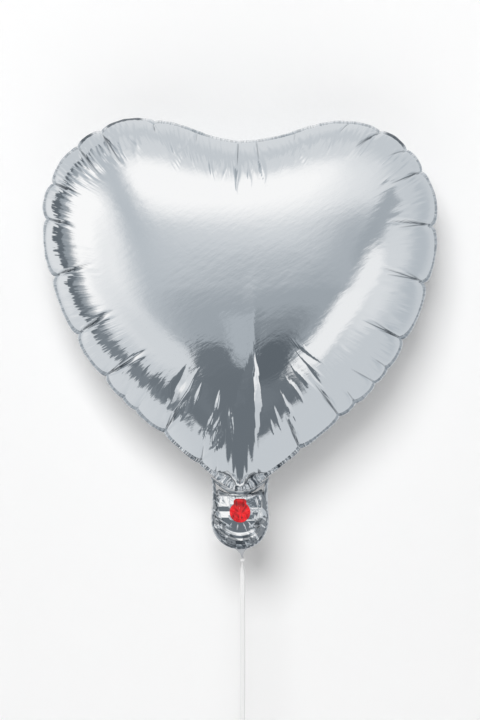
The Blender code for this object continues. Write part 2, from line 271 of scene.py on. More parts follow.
# Folds of the red valve film that press in, with painted shade along them: stripes down its neck, a V
# across it and its flanks.
VALVE_FOLDS: tuple[Fold, ...] = (
    Fold((-4.2, -227), (-3.0, -239), 0.8, 2.6, 1.4),
    Fold((3.8, -227), (2.8, -239), 0.8, 1.4, 2.6),
    Fold((0.2, -244), (-7.5, -234), 0.8, 1.4, 2.4),
    Fold((0.2, -244), (7.5, -234), 0.8, 2.4, 1.4),
    Fold((-5.5, -242), (-8.0, -252), 0.6, 2.4, 1.4),
    Fold((5.5, -242), (8.5, -251), 0.6, 1.4, 2.4),
    Fold((-1.7, -243), (-1.3, -251), 0.7, 1.0, 1.0),
    Fold((2.0, -243), (1.7, -251), 0.7, 1.0, 1.0),
    Fold((8.5, -234.5), (3, -239.5), 0.5, 1.6, 1.6),
    Fold((9.5, -242), (6.5, -246), 0.4, 1.6, 1.6),
)

# Short folds of the valve film that stand up, with painted highlights along them.
VALVE_LIGHTS: tuple[Fold, ...] = (
    Fold((-3.0, -242.0), (3.0, -242.6), 0.9, 1.2, 1.2),
    Fold((-7.6, -238.4), (-4.2, -241.4), 0.7, 1.4, 1.4),
    Fold((4.0, -241.0), (10.5, -238.6), 0.9, 1.7, 1.7),
    Fold((-10.2, -241.0), (-7.4, -246.6), 0.9, 1.7, 1.7),
    Fold((-6.4, -247.4), (-2.6, -251.0), 0.8, 1.6, 1.6),
    Fold((3.0, -250.6), (7.4, -246.6), 0.8, 1.6, 1.6),
    Fold((0.2, -243.6), (0.2, -249.4), 1.1, 1.0, 1.0),
    Fold((-4.6, -229.0), (-4.4, -238.0), 0.5, 1.3, 1.3),
    Fold((5.0, -229.5), (5.2, -237.0), 0.5, 1.3, 1.3),
)


def smooth_step(low: float, high: float, value: Array) -> Array:
    """Rises smoothly from 0 at low to 1 at high."""
    share = np.clip((value - low) / (high - low), 0, 1)
    return share * share * (3 - 2 * share)


class Outline:
    """A closed outline, the same left and right, that runs anticlockwise from its top middle."""

    def __init__(self, spans: tuple[Pairs, ...], per_span: int = 400) -> None:
        """Samples the Bezier spans of the right half and mirrors them.

        Args:
            spans: Bezier spans of the right half, from top to bottom, in mm.
            per_span: Samples along each span.
        """
        share = np.linspace(0, 1, per_span, endpoint=False)[:, None]
        rest = 1 - share
        pieces = []
        for span in spans:
            a, b, c, d = (np.array(p, float) for p in span)
            near = rest**3 * a + 3 * rest**2 * share * b
            pieces.append(near + 3 * rest * share**2 * c + share**3 * d)
        right = np.vstack([*pieces, [spans[-1][-1]]]) * MM
        self.points = np.vstack([right * (-1, 1), right[-2:0:-1]])
        self.closed = np.vstack([self.points, self.points[:1]])
        steps = np.linalg.norm(np.diff(self.closed, axis=0), axis=1)
        self.runs = np.concatenate([[0.0], np.cumsum(steps)])

    @property
    def length(self) -> float:
        """The whole way round, in metres."""
        return float(self.runs[-1])

    def at(self, distance: Array) -> Array:
        """The points at these distances along the outline, as an (n, 2) array."""
        along = np.mod(distance, self.length)
        return np.stack([np.interp(along, self.runs, self.closed[:, k]) for k in (0, 1)], axis=-1)

    def outward(self, distance: Array, reach: float = 1.5 * MM) -> Array:
        """Unit vectors that point out of the outline at these distances."""
        chord = self.at(distance + reach) - self.at(distance - reach)
        chord /= np.linalg.norm(chord, axis=1, keepdims=True)
        return np.stack([chord[:, 1], -chord[:, 0]], axis=-1)

    def station(self, angle: float) -> float:
        """The distance along the outline where a ray from the origin crosses it."""
        ray = np.array([math.cos(math.radians(angle)), math.sin(math.radians(angle))])
        aim = self.points @ ray / np.linalg.norm(self.points, axis=1)
        return float(self.runs[int(np.argmax(aim))])


class SoapFilm:
    """The height of a film blown up gently over an outline, as a share of its peak.

    Under pressure such a film solves a Laplace equation once a paraboloid is taken away. The
    rest is a sum of harmonic terms, even left and right, fitted to the rim by least squares:
    powers about the origin, and inverse powers about poles just outside the pointed tip.
    """

    SCALE = 200 * MM
    TERMS = 24
    POLES = ((0.0, -224 * MM), (30 * MM, -215 * MM))
    ORDERS = 4
    PEAK_RANGE = 80 * MM
    PEAK_SAMPLES = 161

    def __init__(self, rim: Array) -> None:
        """Fits the film to the rim.

        Args:
            rim: Points of the rim, as an (n, 2) array.
        """
        goal = (rim**2).sum(1) / 4
        table = self.terms(rim)
        size = np.abs(table).max(0)
        self.weights = np.linalg.lstsq(table / size, goal, rcond=None)[0] / size
        levels = np.linspace(-self.PEAK_RANGE, self.PEAK_RANGE, self.PEAK_SAMPLES)
        middle = np.stack([np.zeros(self.PEAK_SAMPLES), levels], axis=-1)
        self.peak = float(self.raw(middle).max())

    def terms(self, points: Array) -> Array:
        """The harmonic terms at each point, one column each.

        Args:
            points: Places in plan, in the last axis.

        Returns:
            The terms, in a new last axis.
        """
        turned = (points[..., 1] - 1j * points[..., 0]) / self.SCALE
        columns = [(turned**k).real for k in range(self.TERMS + 1)]
        for x, z in self.POLES:
            for order in range(1, self.ORDERS + 1):
                right = (turned - complex(z, -x) / self.SCALE) ** -order
                left = (turned - complex(z, x) / self.SCALE) ** -order
                columns.append((right + left).real)
                if x > 0:
                    columns.append((right - left).imag)
        return np.stack(columns, axis=-1)

    def raw(self, points: Array) -> Array:
        """The film's height before it is divided by its peak."""
        return self.terms(points) @ self.weights - (points**2).sum(-1) / 4

    def share(self, points: Array) -> Array:
        """The film's height as a share of its peak."""
        return self.raw(points) / self.peak


@dataclass(frozen=True)
class Wrinkles:
    """Single wrinkles side by side along a rim.

    Attributes:
        layer: Which layer of the crumple, so that each one differs.
        pitch: Mean distance between two wrinkles, in mm.
        reach: Shortest and longest wrinkle, in mm.
        height: Height of the highest crest, in mm.
        ending: The share of its reach over which a wrinkle dies away.
    """

    layer: int
    pitch: float
    reach: Pair
    height: float = 1.0
    ending: float = 0.5


class Crumple:
    """Seeded unevenness of a film, from layers of smooth noise and of single wrinkles."""

    LATTICE = 128
    BEND = 0.45
    BEND_CELL = 1.7
    BEND_LAYER = 50
    LOWEST_CREST = 0.25
    STRAY = 0.32
    ROUNDING = 1.3

    def __init__(self, seed: int) -> None:
        """Keeps the seed that every layer starts from."""
        self.seed = seed

    def draws(self, number: int) -> np.random.Generator:
        """The random draws of one layer."""
        return np.random.default_rng(self.seed * 97 + number)

    def corners(self, number: int, u: Array, v: Array) -> tuple[Array, ...]:
        """The cell of a layer's lattice that each place lies in.

        Args:
            number: Which layer.
            u: Place across, in cells.
            v: Place up, in cells.

        Returns:
            How far across and up its cell each place is, and the random values at the cell's
            near, right, upper and far corner.
        """
        size = self.LATTICE
        lattice = self.draws(number).uniform(-1, 1, (size, size))
        i, j = np.floor(u).astype(int), np.floor(v).astype(int)
        across, up = u - i, v - j
        i, j, k, m = i % size, j % size, (i + 1) % size, (j + 1) % size
        return across, up, lattice[i, j], lattice[k, j], lattice[i, m], lattice[k, m]

    def cloud(self, number: int, points: Array, cell: float) -> Array:
        """Smooth noise from -1 to 1 over a plane.

        Args:
            number: Which layer.
            points: Places in the plane, in metres, in the last axis.
            cell: Size of a patch of the noise, in mm.

        Returns:
            The noise at each place.
        """
        u, v = (points[..., k] / (cell * MM) + self.LATTICE / 2 for k in (0, 1))
        a, b, near, right, upper, far = self.corners(number, u, v)
        a, b = smooth_step(0, 1, a), smooth_step(0, 1, b)
        low = near * (1 - a) + right * a
        high = upper * (1 - a) + far * a
        return low * (1 - b) + high * b

    def clouds(self, points: Array, layers: Layers, turn: int = 0) -> Array:
        """Smooth noise of several layers, each given as its number, cell and height in mm."""
        return sum(self.cloud(layer + turn, points, cell) * size for layer, cell, size in layers)

    def facets(self, number: int, points: Array, cell: float) -> Array:
        """Crumpled noise from -1 to 1 over a plane, made of flat three-cornered facets.

        Args:
            number: Which layer.
            points: Places in the plane, in metres, in the last axis.
            cell: Size of a facet, in mm.

        Returns:
            The noise at each place.
        """
        layers = (number + self.BEND_LAYER, number + self.BEND_LAYER + 1)
        bend = [self.cloud(layer, points, cell * self.BEND_CELL) * self.BEND for layer in layers]
        u, v = (points[..., k] / (cell * MM) + self.LATTICE / 2 + bend[k] for k in (0, 1))
        a, b, near, right, upper, far = self.corners(number, u + 0.5 * v, v)
        near_half = near + a * (right - near) + b * (upper - near)
        far_half = far + (1 - a) * (upper - far) + (1 - b) * (right - far)
        return np.where(a + b < 1, near_half, far_half)

    def ring(self, number: int, along: Array, length: float, cell: float) -> Array:
        """Smooth noise from -1 to 1 along a closed rim.

        Args:
            number: Which layer.
            along: Distance along the rim, in metres.
            length: Length of the rim, in metres.
            cell: Size of a patch of the noise, in mm.

        Returns:
            The noise at each distance.
        """
        count = max(4, round(length / (cell * MM)))
        values = self.draws(number).uniform(-1, 1, count)
        u = np.mod(along / length, 1.0) * count
        i = np.floor(u).astype(int)
        share = smooth_step(0, 1, u - i)
        return values[i % count] * (1 - share) + values[(i + 1) % count] * share

    def comb(self, wrinkles: Wrinkles, along: Array, inward: Array, length: float) -> Array:
        """Single wrinkles side by side along a rim, each with its own height and reach.

        Args:
            wrinkles: The wrinkles.
            along: Distance along the rim at each point, in metres.
            inward: Distance in from the rim at each point, in metres.
            length: Length of the rim, in metres.

        Returns:
            The height in mm, from 0 in the valleys.
        """
        count = max(4, round(length / (wrinkles.pitch * MM)))
        draws = self.draws(wrinkles.layer)
        heights = draws.uniform(self.LOWEST_CREST, 1, count)
        reaches = draws.uniform(*wrinkles.reach, count) * MM
        strays = draws.uniform(-self.STRAY, self.STRAY, count)
        edges = np.sort((np.arange(count) + strays) / count)
        place = np.mod(along / length - edges[0], 1.0) + edges[0]
        index = np.clip(np.searchsorted(edges, place, side="right") - 1, 0, count - 1)
        ends = np.append(edges[1:], edges[0] + 1)
        share = (place - edges[index]) / (ends[index] - edges[index])
        fade = smooth_step(0, wrinkles.ending, 1 - inward / reaches[index])
        return heights[index] * np.sin(np.pi * share) ** self.ROUNDING * fade * wrinkles.height


def ridges(points: Array, folds: tuple[Fold, ...]) -> Array:
    """The height that straight folds add to a film.

    Args:
        points: Places in plan, in metres, in the last axis.
        folds: The folds.

    Returns:
        The height at each place, in metres.
    """
    total = np.zeros(points.shape[:-1])
    for fold in folds:
        start, end = np.array(fold.start) * MM, np.array(fold.end) * MM
        size = float(np.linalg.norm(end - start))
        run = (end - start) / size
        offset = points - start
        forth = (offset @ run) / size
        right = -offset[..., 0] * run[1] + offset[..., 1] * run[0]
        width = np.where(right > 0, fold.right, fold.left) * MM
        taper = np.clip(np.minimum(forth / FOLD_PEAK, (1 - forth) / (1 - FOLD_PEAK)), 0, 1)
        width = width * (FOLD_END_WIDTH + (1 - FOLD_END_WIDTH) * taper)
        total += fold.height * MM * taper * np.clip(1 - np.abs(right) / width, 0, 1)
    return total


def surface_normals(points: Array, side: Side) -> Array:
    """Unit normals of a rolled grid of points.

    Args:
        points: The grid, as (rows, columns, 3), closed on itself along its columns.
        side: Which way the normals point at the crown.

    Returns:
        The normals, in the same layout.
    """
    around = np.roll(points, -1, axis=1) - np.roll(points, 1, axis=1)
    inwards = np.gradient(points, axis=0)
    normals = np.cross(around, inwards)
    normals /= np.maximum(np.linalg.norm(normals, axis=2, keepdims=True), 1e-12)
    middle = normals[len(points) // 2, :, 1].mean()
    return normals if middle * side.value > 0 else -normals


@dataclass(frozen=True)
class Dress:
    """What a piece stands for and what it wears.

    Attributes:
        node: The node of the frame that the piece replaces.
        slot: The record's material slot.
        finish: The material.
    """

    node: str
    slot: str
    finish: Material


def place_piece(name: str, bm: Mesh, dress: Dress) -> bpy.types.Object:
    """Turns a bmesh into a piece that stands for a node of the frame.

    Args:
        name: The piece's name.
        bm: Its mesh, in the frame's metres. It is freed.
        dress: Its node and finish.

    Returns:
        The new object.
    """
    mesh = bpy.data.meshes.new(name)
    bm.to_mesh(mesh)
    bm.free()
    mesh.shade_smooth()
    mesh.materials.append(dress.finish)
    piece = bpy.data.objects.new(name, mesh)
    bpy.context.scene.collection.objects.link(piece)
    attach(piece, "root")
    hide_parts(dress.node)
    LOG.info("%s: %d faces", name, len(mesh.polygons))
    return piece


def rolled_grid(
    points: Array,
    along: Array,
    inward: Array,
    closed_rows: bool = False,
    shade: Array | None = None,
) -> Mesh:
    """Rolls a flat grid of faces round so that its columns close on themselves.

    Args:
        points: Where each grid point goes, as (rows, columns, 3).
        along: Distance along the rim at each grid point, kept as the UV map's u in metres.
        inward: Distance in from the rim at each grid point, kept as its v in metres.
        closed_rows: Whether the last row also joins the first, as on a band.
        shade: How deep in painted shade each grid point lies, kept as the attribute "shade".

    Returns:
        The bmesh, with the loop of its last row left open unless the rows close.
    """
    rows, columns = points.shape[:2]
    last = rows if closed_rows else rows - 1
    bm = bmesh.new()
    layer = bm.loops.layers.uv.new("film")
    depth = bm.verts.layers.float.new("shade")
    bmesh.ops.create_grid(bm, x_segments=columns, y_segments=last, size=0.5, calc_uvs=False)
    spots = np.array([v.co[:2] for v in bm.verts]) + 0.5
    column = np.rint(spots[:, 0] * columns).astype(int)
    row = np.rint(spots[:, 1] * last).astype(int)
    bm.verts.index_update()
    for vert, spot in zip(bm.verts, points[row % rows, column % columns].tolist()):
        vert.co = spot
    if shade is not None:
        for vert, value in zip(bm.verts, shade[row % rows, column % columns].tolist()):
            vert[depth] = value
    around = along[0, -1] + along[0, 1] - 2 * along[0, 0]
    u = (along[row % rows, column % columns] + (column == columns) * around).tolist()
    v = inward[row % rows, column % columns].tolist()
    for face in bm.faces:
        for loop in face.loops:
            index = loop.vert.index
            loop[layer].uv = (u[index], v[index])
    on_seam = (column == 0) | (column == columns)
    if closed_rows:
        on_seam |= (row == 0) | (row == last)
    seam = [vert for vert, joins in zip(bm.verts, on_seam) if joins]
    bmesh.ops.remove_doubles(bm, verts=seam, dist=SEAM_GAP)
    return bm


def close_loop(bm: Mesh, ring: Array) -> list[bmesh.types.BMFace]:
    """Closes one open loop of a mesh with a flat face.

    Args:
        bm: The mesh.
        ring: The points of that loop, as (n, 3).

    Returns:
        The new face, in a list.
    """
    middle = ring.mean(0)
    radius = float(np.linalg.norm(ring - middle, axis=1).max()) * 1.001
    middle = Vector(middle)
    edges = [e for e in bm.edges if e.is_boundary and (e.verts[0].co - middle).length < radius]
    return bmesh.ops.contextual_create(bm, geom=edges)["faces"]


def close_rim(bm: Mesh) -> None:
    """Closes a film behind its rim, with a sharp edge so that the cap does not bend its shading.

    Args:
        bm: The film's mesh.
    """
    edges = [e for e in bm.edges if e.is_boundary]
    for edge in edges:
        edge.smooth = False
    face = bmesh.ops.contextual_create(bm, geom=edges)["faces"]
    bmesh.ops.poke(bm, faces=face)


def film_piece(points: Array, along: Array, inward: Array, shade: Array) -> Mesh:
    """A film from a rolled grid of points, closed at its crown and behind its rim.

    Args:
        points: Where each grid point goes, as (rows, columns, 3).
        along: Distance along the rim at each.
        inward: Distance in from the rim at each.
        shade: How deep in painted shade each lies.

    Returns:
        The mesh.
    """
    bm = rolled_grid(points, along, inward, shade=shade)
    bmesh.ops.poke(bm, faces=close_loop(bm, points[-1]))
    close_rim(bm)
    bmesh.ops.recalc_face_normals(bm, faces=bm.faces)
    return bm


def band_piece(rows: list[Array], along: Array, step: float, shades: list[Array] | None = None) -> Mesh:
    """A band whose columns and rows both close on themselves.

    Args:
        rows: The points of each row, as (columns, 3).
        along: Distance along the band at each column.
        step: Distance between two rows on the UV map.
        shades: How deep in painted shade each point of each row lies.

    Returns:
        The bmesh.
    """
    points = np.array(rows)
    far = np.broadcast_to(along, points.shape[:2])
    inward = np.broadcast_to(np.arange(len(rows))[:, None] * step, points.shape[:2])
    shade = None if shades is None else np.array(shades)
    bm = rolled_grid(points, far, inward, closed_rows=True, shade=shade)
    bmesh.ops.recalc_face_normals(bm, faces=bm.faces)
    return bm


def rolled_plan(rim: Array, centre: Pair, oval: Pair, turn: Array, fade: float) -> tuple[Array, Array]:
    """A flat grid that shrinks from a rim to a centre and turns into an oval on the way.

    Args:
        rim: Points of the rim, as (columns, 2).
        centre: Where the rows close.
        oval: The oval's half width and half height.
        turn: How far through a quarter turn each row is, from 0 at the rim to nearly 1.
        fade: How quickly the rows turn into the oval.

    Returns:
        The grid as (rows, columns, 2), and each row's size as a share of the rim's.
    """
    shares = np.cos(turn * np.pi / 2)[:, None, None]
    arm = rim - centre
    angle = np.arctan2(arm[:, 1] * oval[0], arm[:, 0] * oval[1])
    round_arm = np.stack([oval[0] * np.cos(angle), oval[1] * np.sin(angle)], axis=-1)
    keep = shares**fade
    return centre + shares * (round_arm * (1 - keep) + arm * keep), shares


@dataclass
class Rim:
    """The heart's scalloped rim, in columns that stand closer together at the creases.

    Attributes:
        outline: The smooth outline.
        columns: How many columns.
        crowding: How much closer the columns stand at a crease.
        swell: How far the rim puffs out between two creases, as a share of their distance.
        notch_reach: How far from a crease the rim still dips in.
        notch_share: How much of a crease's dip shows.
        shallow_dip: The dip under which the film beside a crease stays flatter.
        shallow_strength: How strongly it vaults there.
        trend_window: Over how many degrees to each side the rim's trend is evened out.
    """

    outline: Outline
    columns: int
    crowding: float = 0.0
    swell: float = 0.03
    crowding_reach: float = 5 * MM
    notch_reach: float = 3 * MM
    notch_share: float = 0.8
    shallow_dip: float = 1 * MM
    shallow_strength: float = 0.25
    samples: int = 40001
    trend_window: float = 4.0

    def __post_init__(self) -> None:
        """Works out each column's place between its two nearest creases."""
        length = self.outline.length
        self.stations = sorted((self.outline.station(c.angle), c) for c in CREASES)
        starts = np.array([s for s, _ in self.stations])
        self.along = self.spaced(starts)
        self.points = self.outline.at(self.along)
        self.out = self.outline.outward(self.along)
        self.angles = np.degrees(np.arctan2(self.points[:, 1], self.points[:, 0]))
        self.step = np.mod(np.roll(self.along, -1) - self.along, length)
        dips = np.array([c.dip for _, c in self.stations]) * MM
        after = np.searchsorted(starts, self.along, side="right") % len(starts)
        before = after - 1
        self.gap = np.mod(starts[after] - starts[before], length)
        gone = np.mod(self.along - starts[before], length)
        self.share = gone / self.gap
        shallow = np.minimum(dips[after], dips[before]) < self.shallow_dip
        self.strength = np.where(shallow, self.shallow_strength, 1.0)
        notch = dips[before] * np.exp(-gone / self.notch_reach)
        notch += dips[after] * np.exp(-(self.gap - gone) / self.notch_reach)
        puff = np.where(shallow, 0.0, self.swell) * self.gap * np.sin(np.pi * self.share)
        self.shift = puff - self.notch_share * notch + self.trend() * MM

    def spaced(self, starts: Array) -> Array:
        """Distances along the outline, closer together near each crease.

        Args:
            starts: Where the creases cross the outline.

        Returns:
            One distance for each column.
        """
        length = self.outline.length
        fine = np.linspace(0, length, self.samples)
        apart = np.mod(fine[:, None] - starts + length / 2, length) - length / 2
        crowd = np.exp(-((apart / self.crowding_reach) ** 2)).max(1)
        density = 1 + self.crowding * crowd
        total = np.concatenate([[0.0], np.cumsum((density[1:] + density[:-1]) / 2)])
        return np.interp(np.arange(self.columns) / self.columns, total / total[-1], fine)

    def trend(self) -> Array:
        """How far the smooth rim strays from the outline at each column, in mm."""
        places, strays = np.array(RIM_TREND).T
        nearby = np.linspace(-self.trend_window, self.trend_window, 9)
        values = [np.interp(self.angles + turn, places, strays, period=360) for turn in nearby]
        return np.mean(values, axis=0)


def weld_width(points: Array) -> Array:
    """Width of the weld along the heart's rim, in metres: wider where it crosses the tab."""
    plain, extra = 3, 5.5
    crossing_x, spread, lowest_lobe = 16, 8.5, -150
    apart = np.abs(points[:, 0]) / MM
    wide = np.exp(-(((apart - crossing_x) / spread) ** 2)) * (points[:, 1] < lowest_lobe * MM)
    return (plain + extra * wide) * MM


@dataclass(frozen=True)
class Strand:
    """One of the sharp valleys that a crease runs into.

    Attributes:
        fork: How far in it leaves the crease, in mm.
        lean: Its own sideways drift for each mm inwards from there.
        run: Its reach as a share of the crease's.
        strength: Its depth as a share of the crease's.
    """

    fork: float
    lean: float
    run: float
    strength: float

    ONSET = (-3, 5)
    FORK_ONSET = 2
    FADE_POWER = 0.6
    RIM_WIDTH = 0.45
    WIDENING = 1.0
    CREST_PLACE = 2.8
    CREST_WIDTH = 1.5
    CREST_SHARES = (0.65, 0.3)
    # Painted shade along the valley's line: its width, its gain and the crease depth that gives full
    # shade.
    LINE_WIDTH = 0.5 * MM
    LINE_GAIN = 1.8
    FULL_SHADE_DEPTH = 1.3

    def press(self, crease: Crease, sideways: Array, deep: Array) -> tuple[Array, Array, Array]:
        """Presses the valley into a film.

        Args:
            crease: The crease that it belongs to.
            sideways: Distance along the rim from the crease at each point, in metres.
            deep: Distance in from the rim at each point, in metres.

        Returns:
            The valley's depth, the crests' height beside it and its line's painted shade, from 0 to 1.
        """
        reach = crease.reach * self.run * MM
        drift = crease.lean * deep + self.lean * np.maximum(deep - self.fork * MM, 0)
        if self.fork:
            start = smooth_step(0, 1, (deep / MM - self.fork) / self.FORK_ONSET)
        else:
            start = smooth_step(*self.ONSET, deep / MM)
        fade = start * np.clip(1 - deep / reach, 0, 1) ** self.FADE_POWER
        width = (self.RIM_WIDTH + self.WIDENING * deep / reach) * MM
        depth = crease.depth * self.strength * MM * fade
        beside = sideways - drift
        apart = np.abs(beside)
        crest = np.where(beside > 0, *self.CREST_SHARES) * depth
        crest = crest * np.exp(-(((apart - self.CREST_PLACE * width) / (self.CREST_WIDTH * width)) ** 2))
        line = self.strength * np.minimum(self.LINE_GAIN * fade, 1)
        line = line * np.exp(-((apart / self.LINE_WIDTH) ** 2))
        return depth * np.exp(-apart / width), crest, line * min(crease.depth / self.FULL_SHADE_DEPTH, 1)


@dataclass
class HeartFilm:
    """One of the heart's two films."""

    side: Side
    seed: int
    columns: int
    rows: int
    seat: float = 0.9 * MM
    height: float = 88 * MM
    centre: Pair = (0.0, -10 * MM)
    oval: Pair = (165 * MM, 150 * MM)
    column_crowding: float = 2.4
    row_crowding: float = 1.1
    shape_fade: float = 3.0
    rim_fade: float = 6
    power: float = 1.4
    thinning: float = 0.3
    thinning_z: Pair = (-20 * MM, -220 * MM)
    thinning_power: float = 1.5
    scallop_reach: float = 9 * MM
    scallop_fade: float = 1.6
    vault_height: float = 0.030
    vault_reach: Pair = (0.20, 5 * MM)
    vault_roundness: float = 2.6
    vault_sink: float = 0.6
    vault_fade: float = 1.5
    crease_half_width: float = 45 * MM
    fork_depth: float = 0.9
    fork_start: Pair = (2, 11)
    fork_lean: Pair = (0.04, 0.17)
    fork_run: Pair = (0.5, 1.0)
    fork_strength: float = 0.75
    wrinkle_drift: float = 0.35
    wrinkle_drift_cell: float = 70
    wrinkle_slant: float = 0.8
    wrinkles: tuple[Wrinkles, ...] = (
        Wrinkles(1, 13.0, (22, 62), 0.50),
        Wrinkles(2, 7.4, (14, 48), 0.42),
        Wrinkles(3, 4.8, (8, 34), 0.26),
    )
    hanging: Wrinkles = Wrinkles(9, 5.6, (16, 50), 1.3, 0.3)
    hanging_z: Pair = (60 * MM, 100 * MM)
    upper_gain: float = 0.8
    rim_share: float = 0.3
    rim_run: Pair = (4 * MM, 17 * MM)
    patch_cell: float = 34
    patch_share: float = 0.4
    calm_z: Pair = (-70 * MM, -215 * MM)
    calm_middle: Pair = (-12 * MM, 0.0)
    calm_half: Pair = (30 * MM, 16 * MM)
    calm_edge: Pair = (1.25, 0.75)
    calm_top_z: Pair = (-55 * MM, -80 * MM)
    calm_share: float = 0.92
    tip_z: Pair = (-158 * MM, -172 * MM)
    sag_layers: Layers = ((4, 24, 0.07), (5, 52, 0.24))
    sag_run: Pair = (10 * MM, 50 * MM)
    stray_layers: Layers = ((20, 9, 1.2), (22, 3, 0.22))
    outline: Outline = field(default_factory=lambda: Outline(HEART_SPANS))

    def __post_init__(self) -> None:
        """Works out the rim and the film's form."""
        self.rim = Rim(self.outline, self.columns, crowding=self.column_crowding)
        self.crumple = Crumple(self.seed)
        self.film_rim = self.rim.points - self.rim.out * weld_width(self.rim.points)[:, None]
        self.film = SoapFilm(self.film_rim)
        arm = np.array(self.centre) - self.film_rim
        arm /= np.linalg.norm(arm, axis=1, keepdims=True)
        self.slant = arm[:, 1] * self.rim.out[:, 0] - arm[:, 0] * self.rim.out[:, 1]

    def thin(self, z: Array) -> Array:
        """The share of its height that the film keeps at each level."""
        top, bottom = self.thinning_z
        low = np.clip((top - z) / (top - bottom), 0, 1)
        return 1 - self.thinning * low**self.thinning_power

    def plain_film(self) -> tuple[Array, Array]:
        """The film with its scalloped rim, before any wrinkle.

        Returns:
            Its points as (rows, columns, 3), and each point's distance inwards.
        """
        turn = np.linspace(0, 1, self.rows + 1)[:-1] ** self.row_crowding * CROWN_TURN
        flat, shares = rolled_plan(self.film_rim, self.centre, self.oval, turn, self.shape_fade)
        share = self.film.share(flat) - self.film.share(self.film_rim) * shares[..., 0] ** self.rim_fade
        bulge = np.sqrt(1 - (1 - np.clip(share, 0, 1)) ** self.power)
        lift = self.seat + self.height * bulge * self.thin(flat[..., 1])
        inward = np.linalg.norm(flat - flat[:1], axis=-1)
        fade = np.exp(-((inward / self.scallop_reach) ** self.scallop_fade))
        flat = flat + self.rim.out * (self.rim.shift * fade)[..., None]
        points = np.stack([flat[..., 0], self.side.value * lift, flat[..., 1]], axis=-1)
        return points, inward

    def vaults(self, inward: Array) -> Array:
        """How far the film puffs out between neighbouring creases.

        Args:
            inward: Distance in from the rim at each point.

        Returns:
            The height to add at each point.
        """
        rim = self.rim
        arch = 1 - np.abs(2 * rim.share - 1) ** self.vault_roundness - self.vault_sink
        share, least = self.vault_reach
        fade = np.exp(-((inward / (share * rim.gap + least)) ** self.vault_fade))
        return self.vault_height * rim.strength * rim.gap * arch * fade

    def strands(self, crease: Crease, draws: np.random.Generator) -> list[Strand]:
        """The valleys of one crease: its own, and a fork to each side where it is deep.

        Args:
            crease: The crease.
            draws: The random draws for its forks.

        Returns:
            The valleys.
        """
        found = [Strand(0.0, 0.0, 1.0, 1.0)]
        for turn in (-1, 1) if crease.depth > self.fork_depth else ():
            fork = draws.uniform(*self.fork_start)
            lean = turn * draws.uniform(*self.fork_lean)
            run = draws.uniform(*self.fork_run)
            found.append(Strand(fork, lean, run, self.fork_strength))
        return found

    def valleys(self, inward: Array, spread: Array) -> tuple[Array, Array]:
        """The sharp valleys of every crease, which fork as they run inwards.

        Args:
            inward: Distance in from the rim at each point.
            spread: Width of a column at each point against its width at the rim.

        Returns:
            The height to add at each point, and its painted shade along the valley lines, from 0 to 1.
        """
        total = np.zeros_like(inward)
        shade = np.zeros_like(inward)
        length = self.outline.length
        draws = self.crumple.draws(40)
        for station, crease in self.rim.stations:
            offset = np.mod(self.rim.along - station + length / 2, length) - length / 2
            near = np.abs(offset) < self.crease_half_width
            sideways, deep = offset[near] * spread[:, near], inward[:, near]
            gain = np.zeros_like(deep)
            for strand in self.strands(crease, draws):
                valley, crest, line = strand.press(crease, sideways, deep)
                gain -= valley
                gain += crest
                shade[:, near] = np.maximum(shade[:, near], line)
            total[:, near] += gain
        return total, shade

    def ripples(self, points: Array, inward: Array) -> Array:
        """The fine radial wrinkles that the weld gathers, each a tooth that tapers inwards.

        Args:
            points: The film's points.
            inward: Distance in from the rim at each.

        Returns:
            The height to add at each point.
        """
        length = self.outline.length
        along = np.broadcast_to(self.rim.along, inward.shape)
        drift = self.crumple.ring(8, along, length, self.wrinkle_drift_cell) * self.wrinkle_drift
        along = along + (drift + self.wrinkle_slant * self.slant) * inward
        plan = points[..., (0, 2)]
        patches = self.crumple.cloud(7, plan, self.patch_cell) * self.patch_share
        teeth = sum(self.crumple.comb(layer, along, inward, length) for layer in self.wrinkles)
        above = smooth_step(*self.hanging_z, plan[..., 1])
        inside = self.rim_share + (1 - self.rim_share) * smooth_step(*self.rim_run, inward)
        strength = (1 + self.upper_gain * above) * inside * (1 - self.patch_share + patches)
        strength = strength * (1 - self.calm(plan))
        hanging = self.crumple.comb(self.hanging, along, inward, length) * above
        return (strength * teeth + inside * hanging) * MM

    def calm(self, plan: Array) -> Array:
        """How smooth the film is kept, from 0 to 1: most on the flat faces above the tip.

        Args:
            plan: Places as (x, z).

        Returns:
            The smoothness at each place.
        """
        level = plan[..., 1]
        middle = np.interp(-level, -np.array(self.calm_z), self.calm_middle)
        half = np.interp(-level, -np.array(self.calm_z), self.calm_half)
        beside = smooth_step(*self.calm_edge, np.abs(plan[..., 0] - middle) / half)
        face = self.calm_share * beside * smooth_step(*self.calm_top_z, level)
        return np.maximum(face, smooth_step(*self.tip_z, level))

    def sags(self, points: Array, inward: Array) -> Array:
        """The faint unevenness of the smooth middle."""
        sag = self.crumple.clouds(points[..., (0, 2)], self.sag_layers)
        return sag * smooth_step(*self.sag_run, inward) * MM

    def folds(self, points: Array) -> Array:
        """The long ridge and the straight folds, with uneven edges.

        Args:
            points: The film's points.

        Returns:
            The height to add at each point.
        """
        plan = points[..., (0, 2)]
        stray = [self.crumple.clouds(plan, self.stray_layers, turn) for turn in (0, 1)]
        return ridges(plan + np.stack(stray, axis=-1) * MM, HEART_FOLDS)

    def mesh(self) -> Mesh:
        """The whole film, with its wrinkles."""
        points, inward = self.plain_film()
        normals = surface_normals(points, self.side)
        wide = np.linalg.norm(np.roll(points, -1, axis=1) - points, axis=2)
        valleys, shade = self.valleys(inward, wide / self.rim.step)
        height = self.vaults(inward) + valleys
        height = height + self.ripples(points, inward) + self.sags(points, inward)
        if self.side is Side.FRONT:
            height = height + self.folds(points)
        points = points + normals * height[..., None]
        points[..., 1] = self.side.value * np.maximum(self.side.value * points[..., 1], self.seat)
        along = np.broadcast_to(self.rim.along, inward.shape)
        return film_piece(points, along, inward, shade)

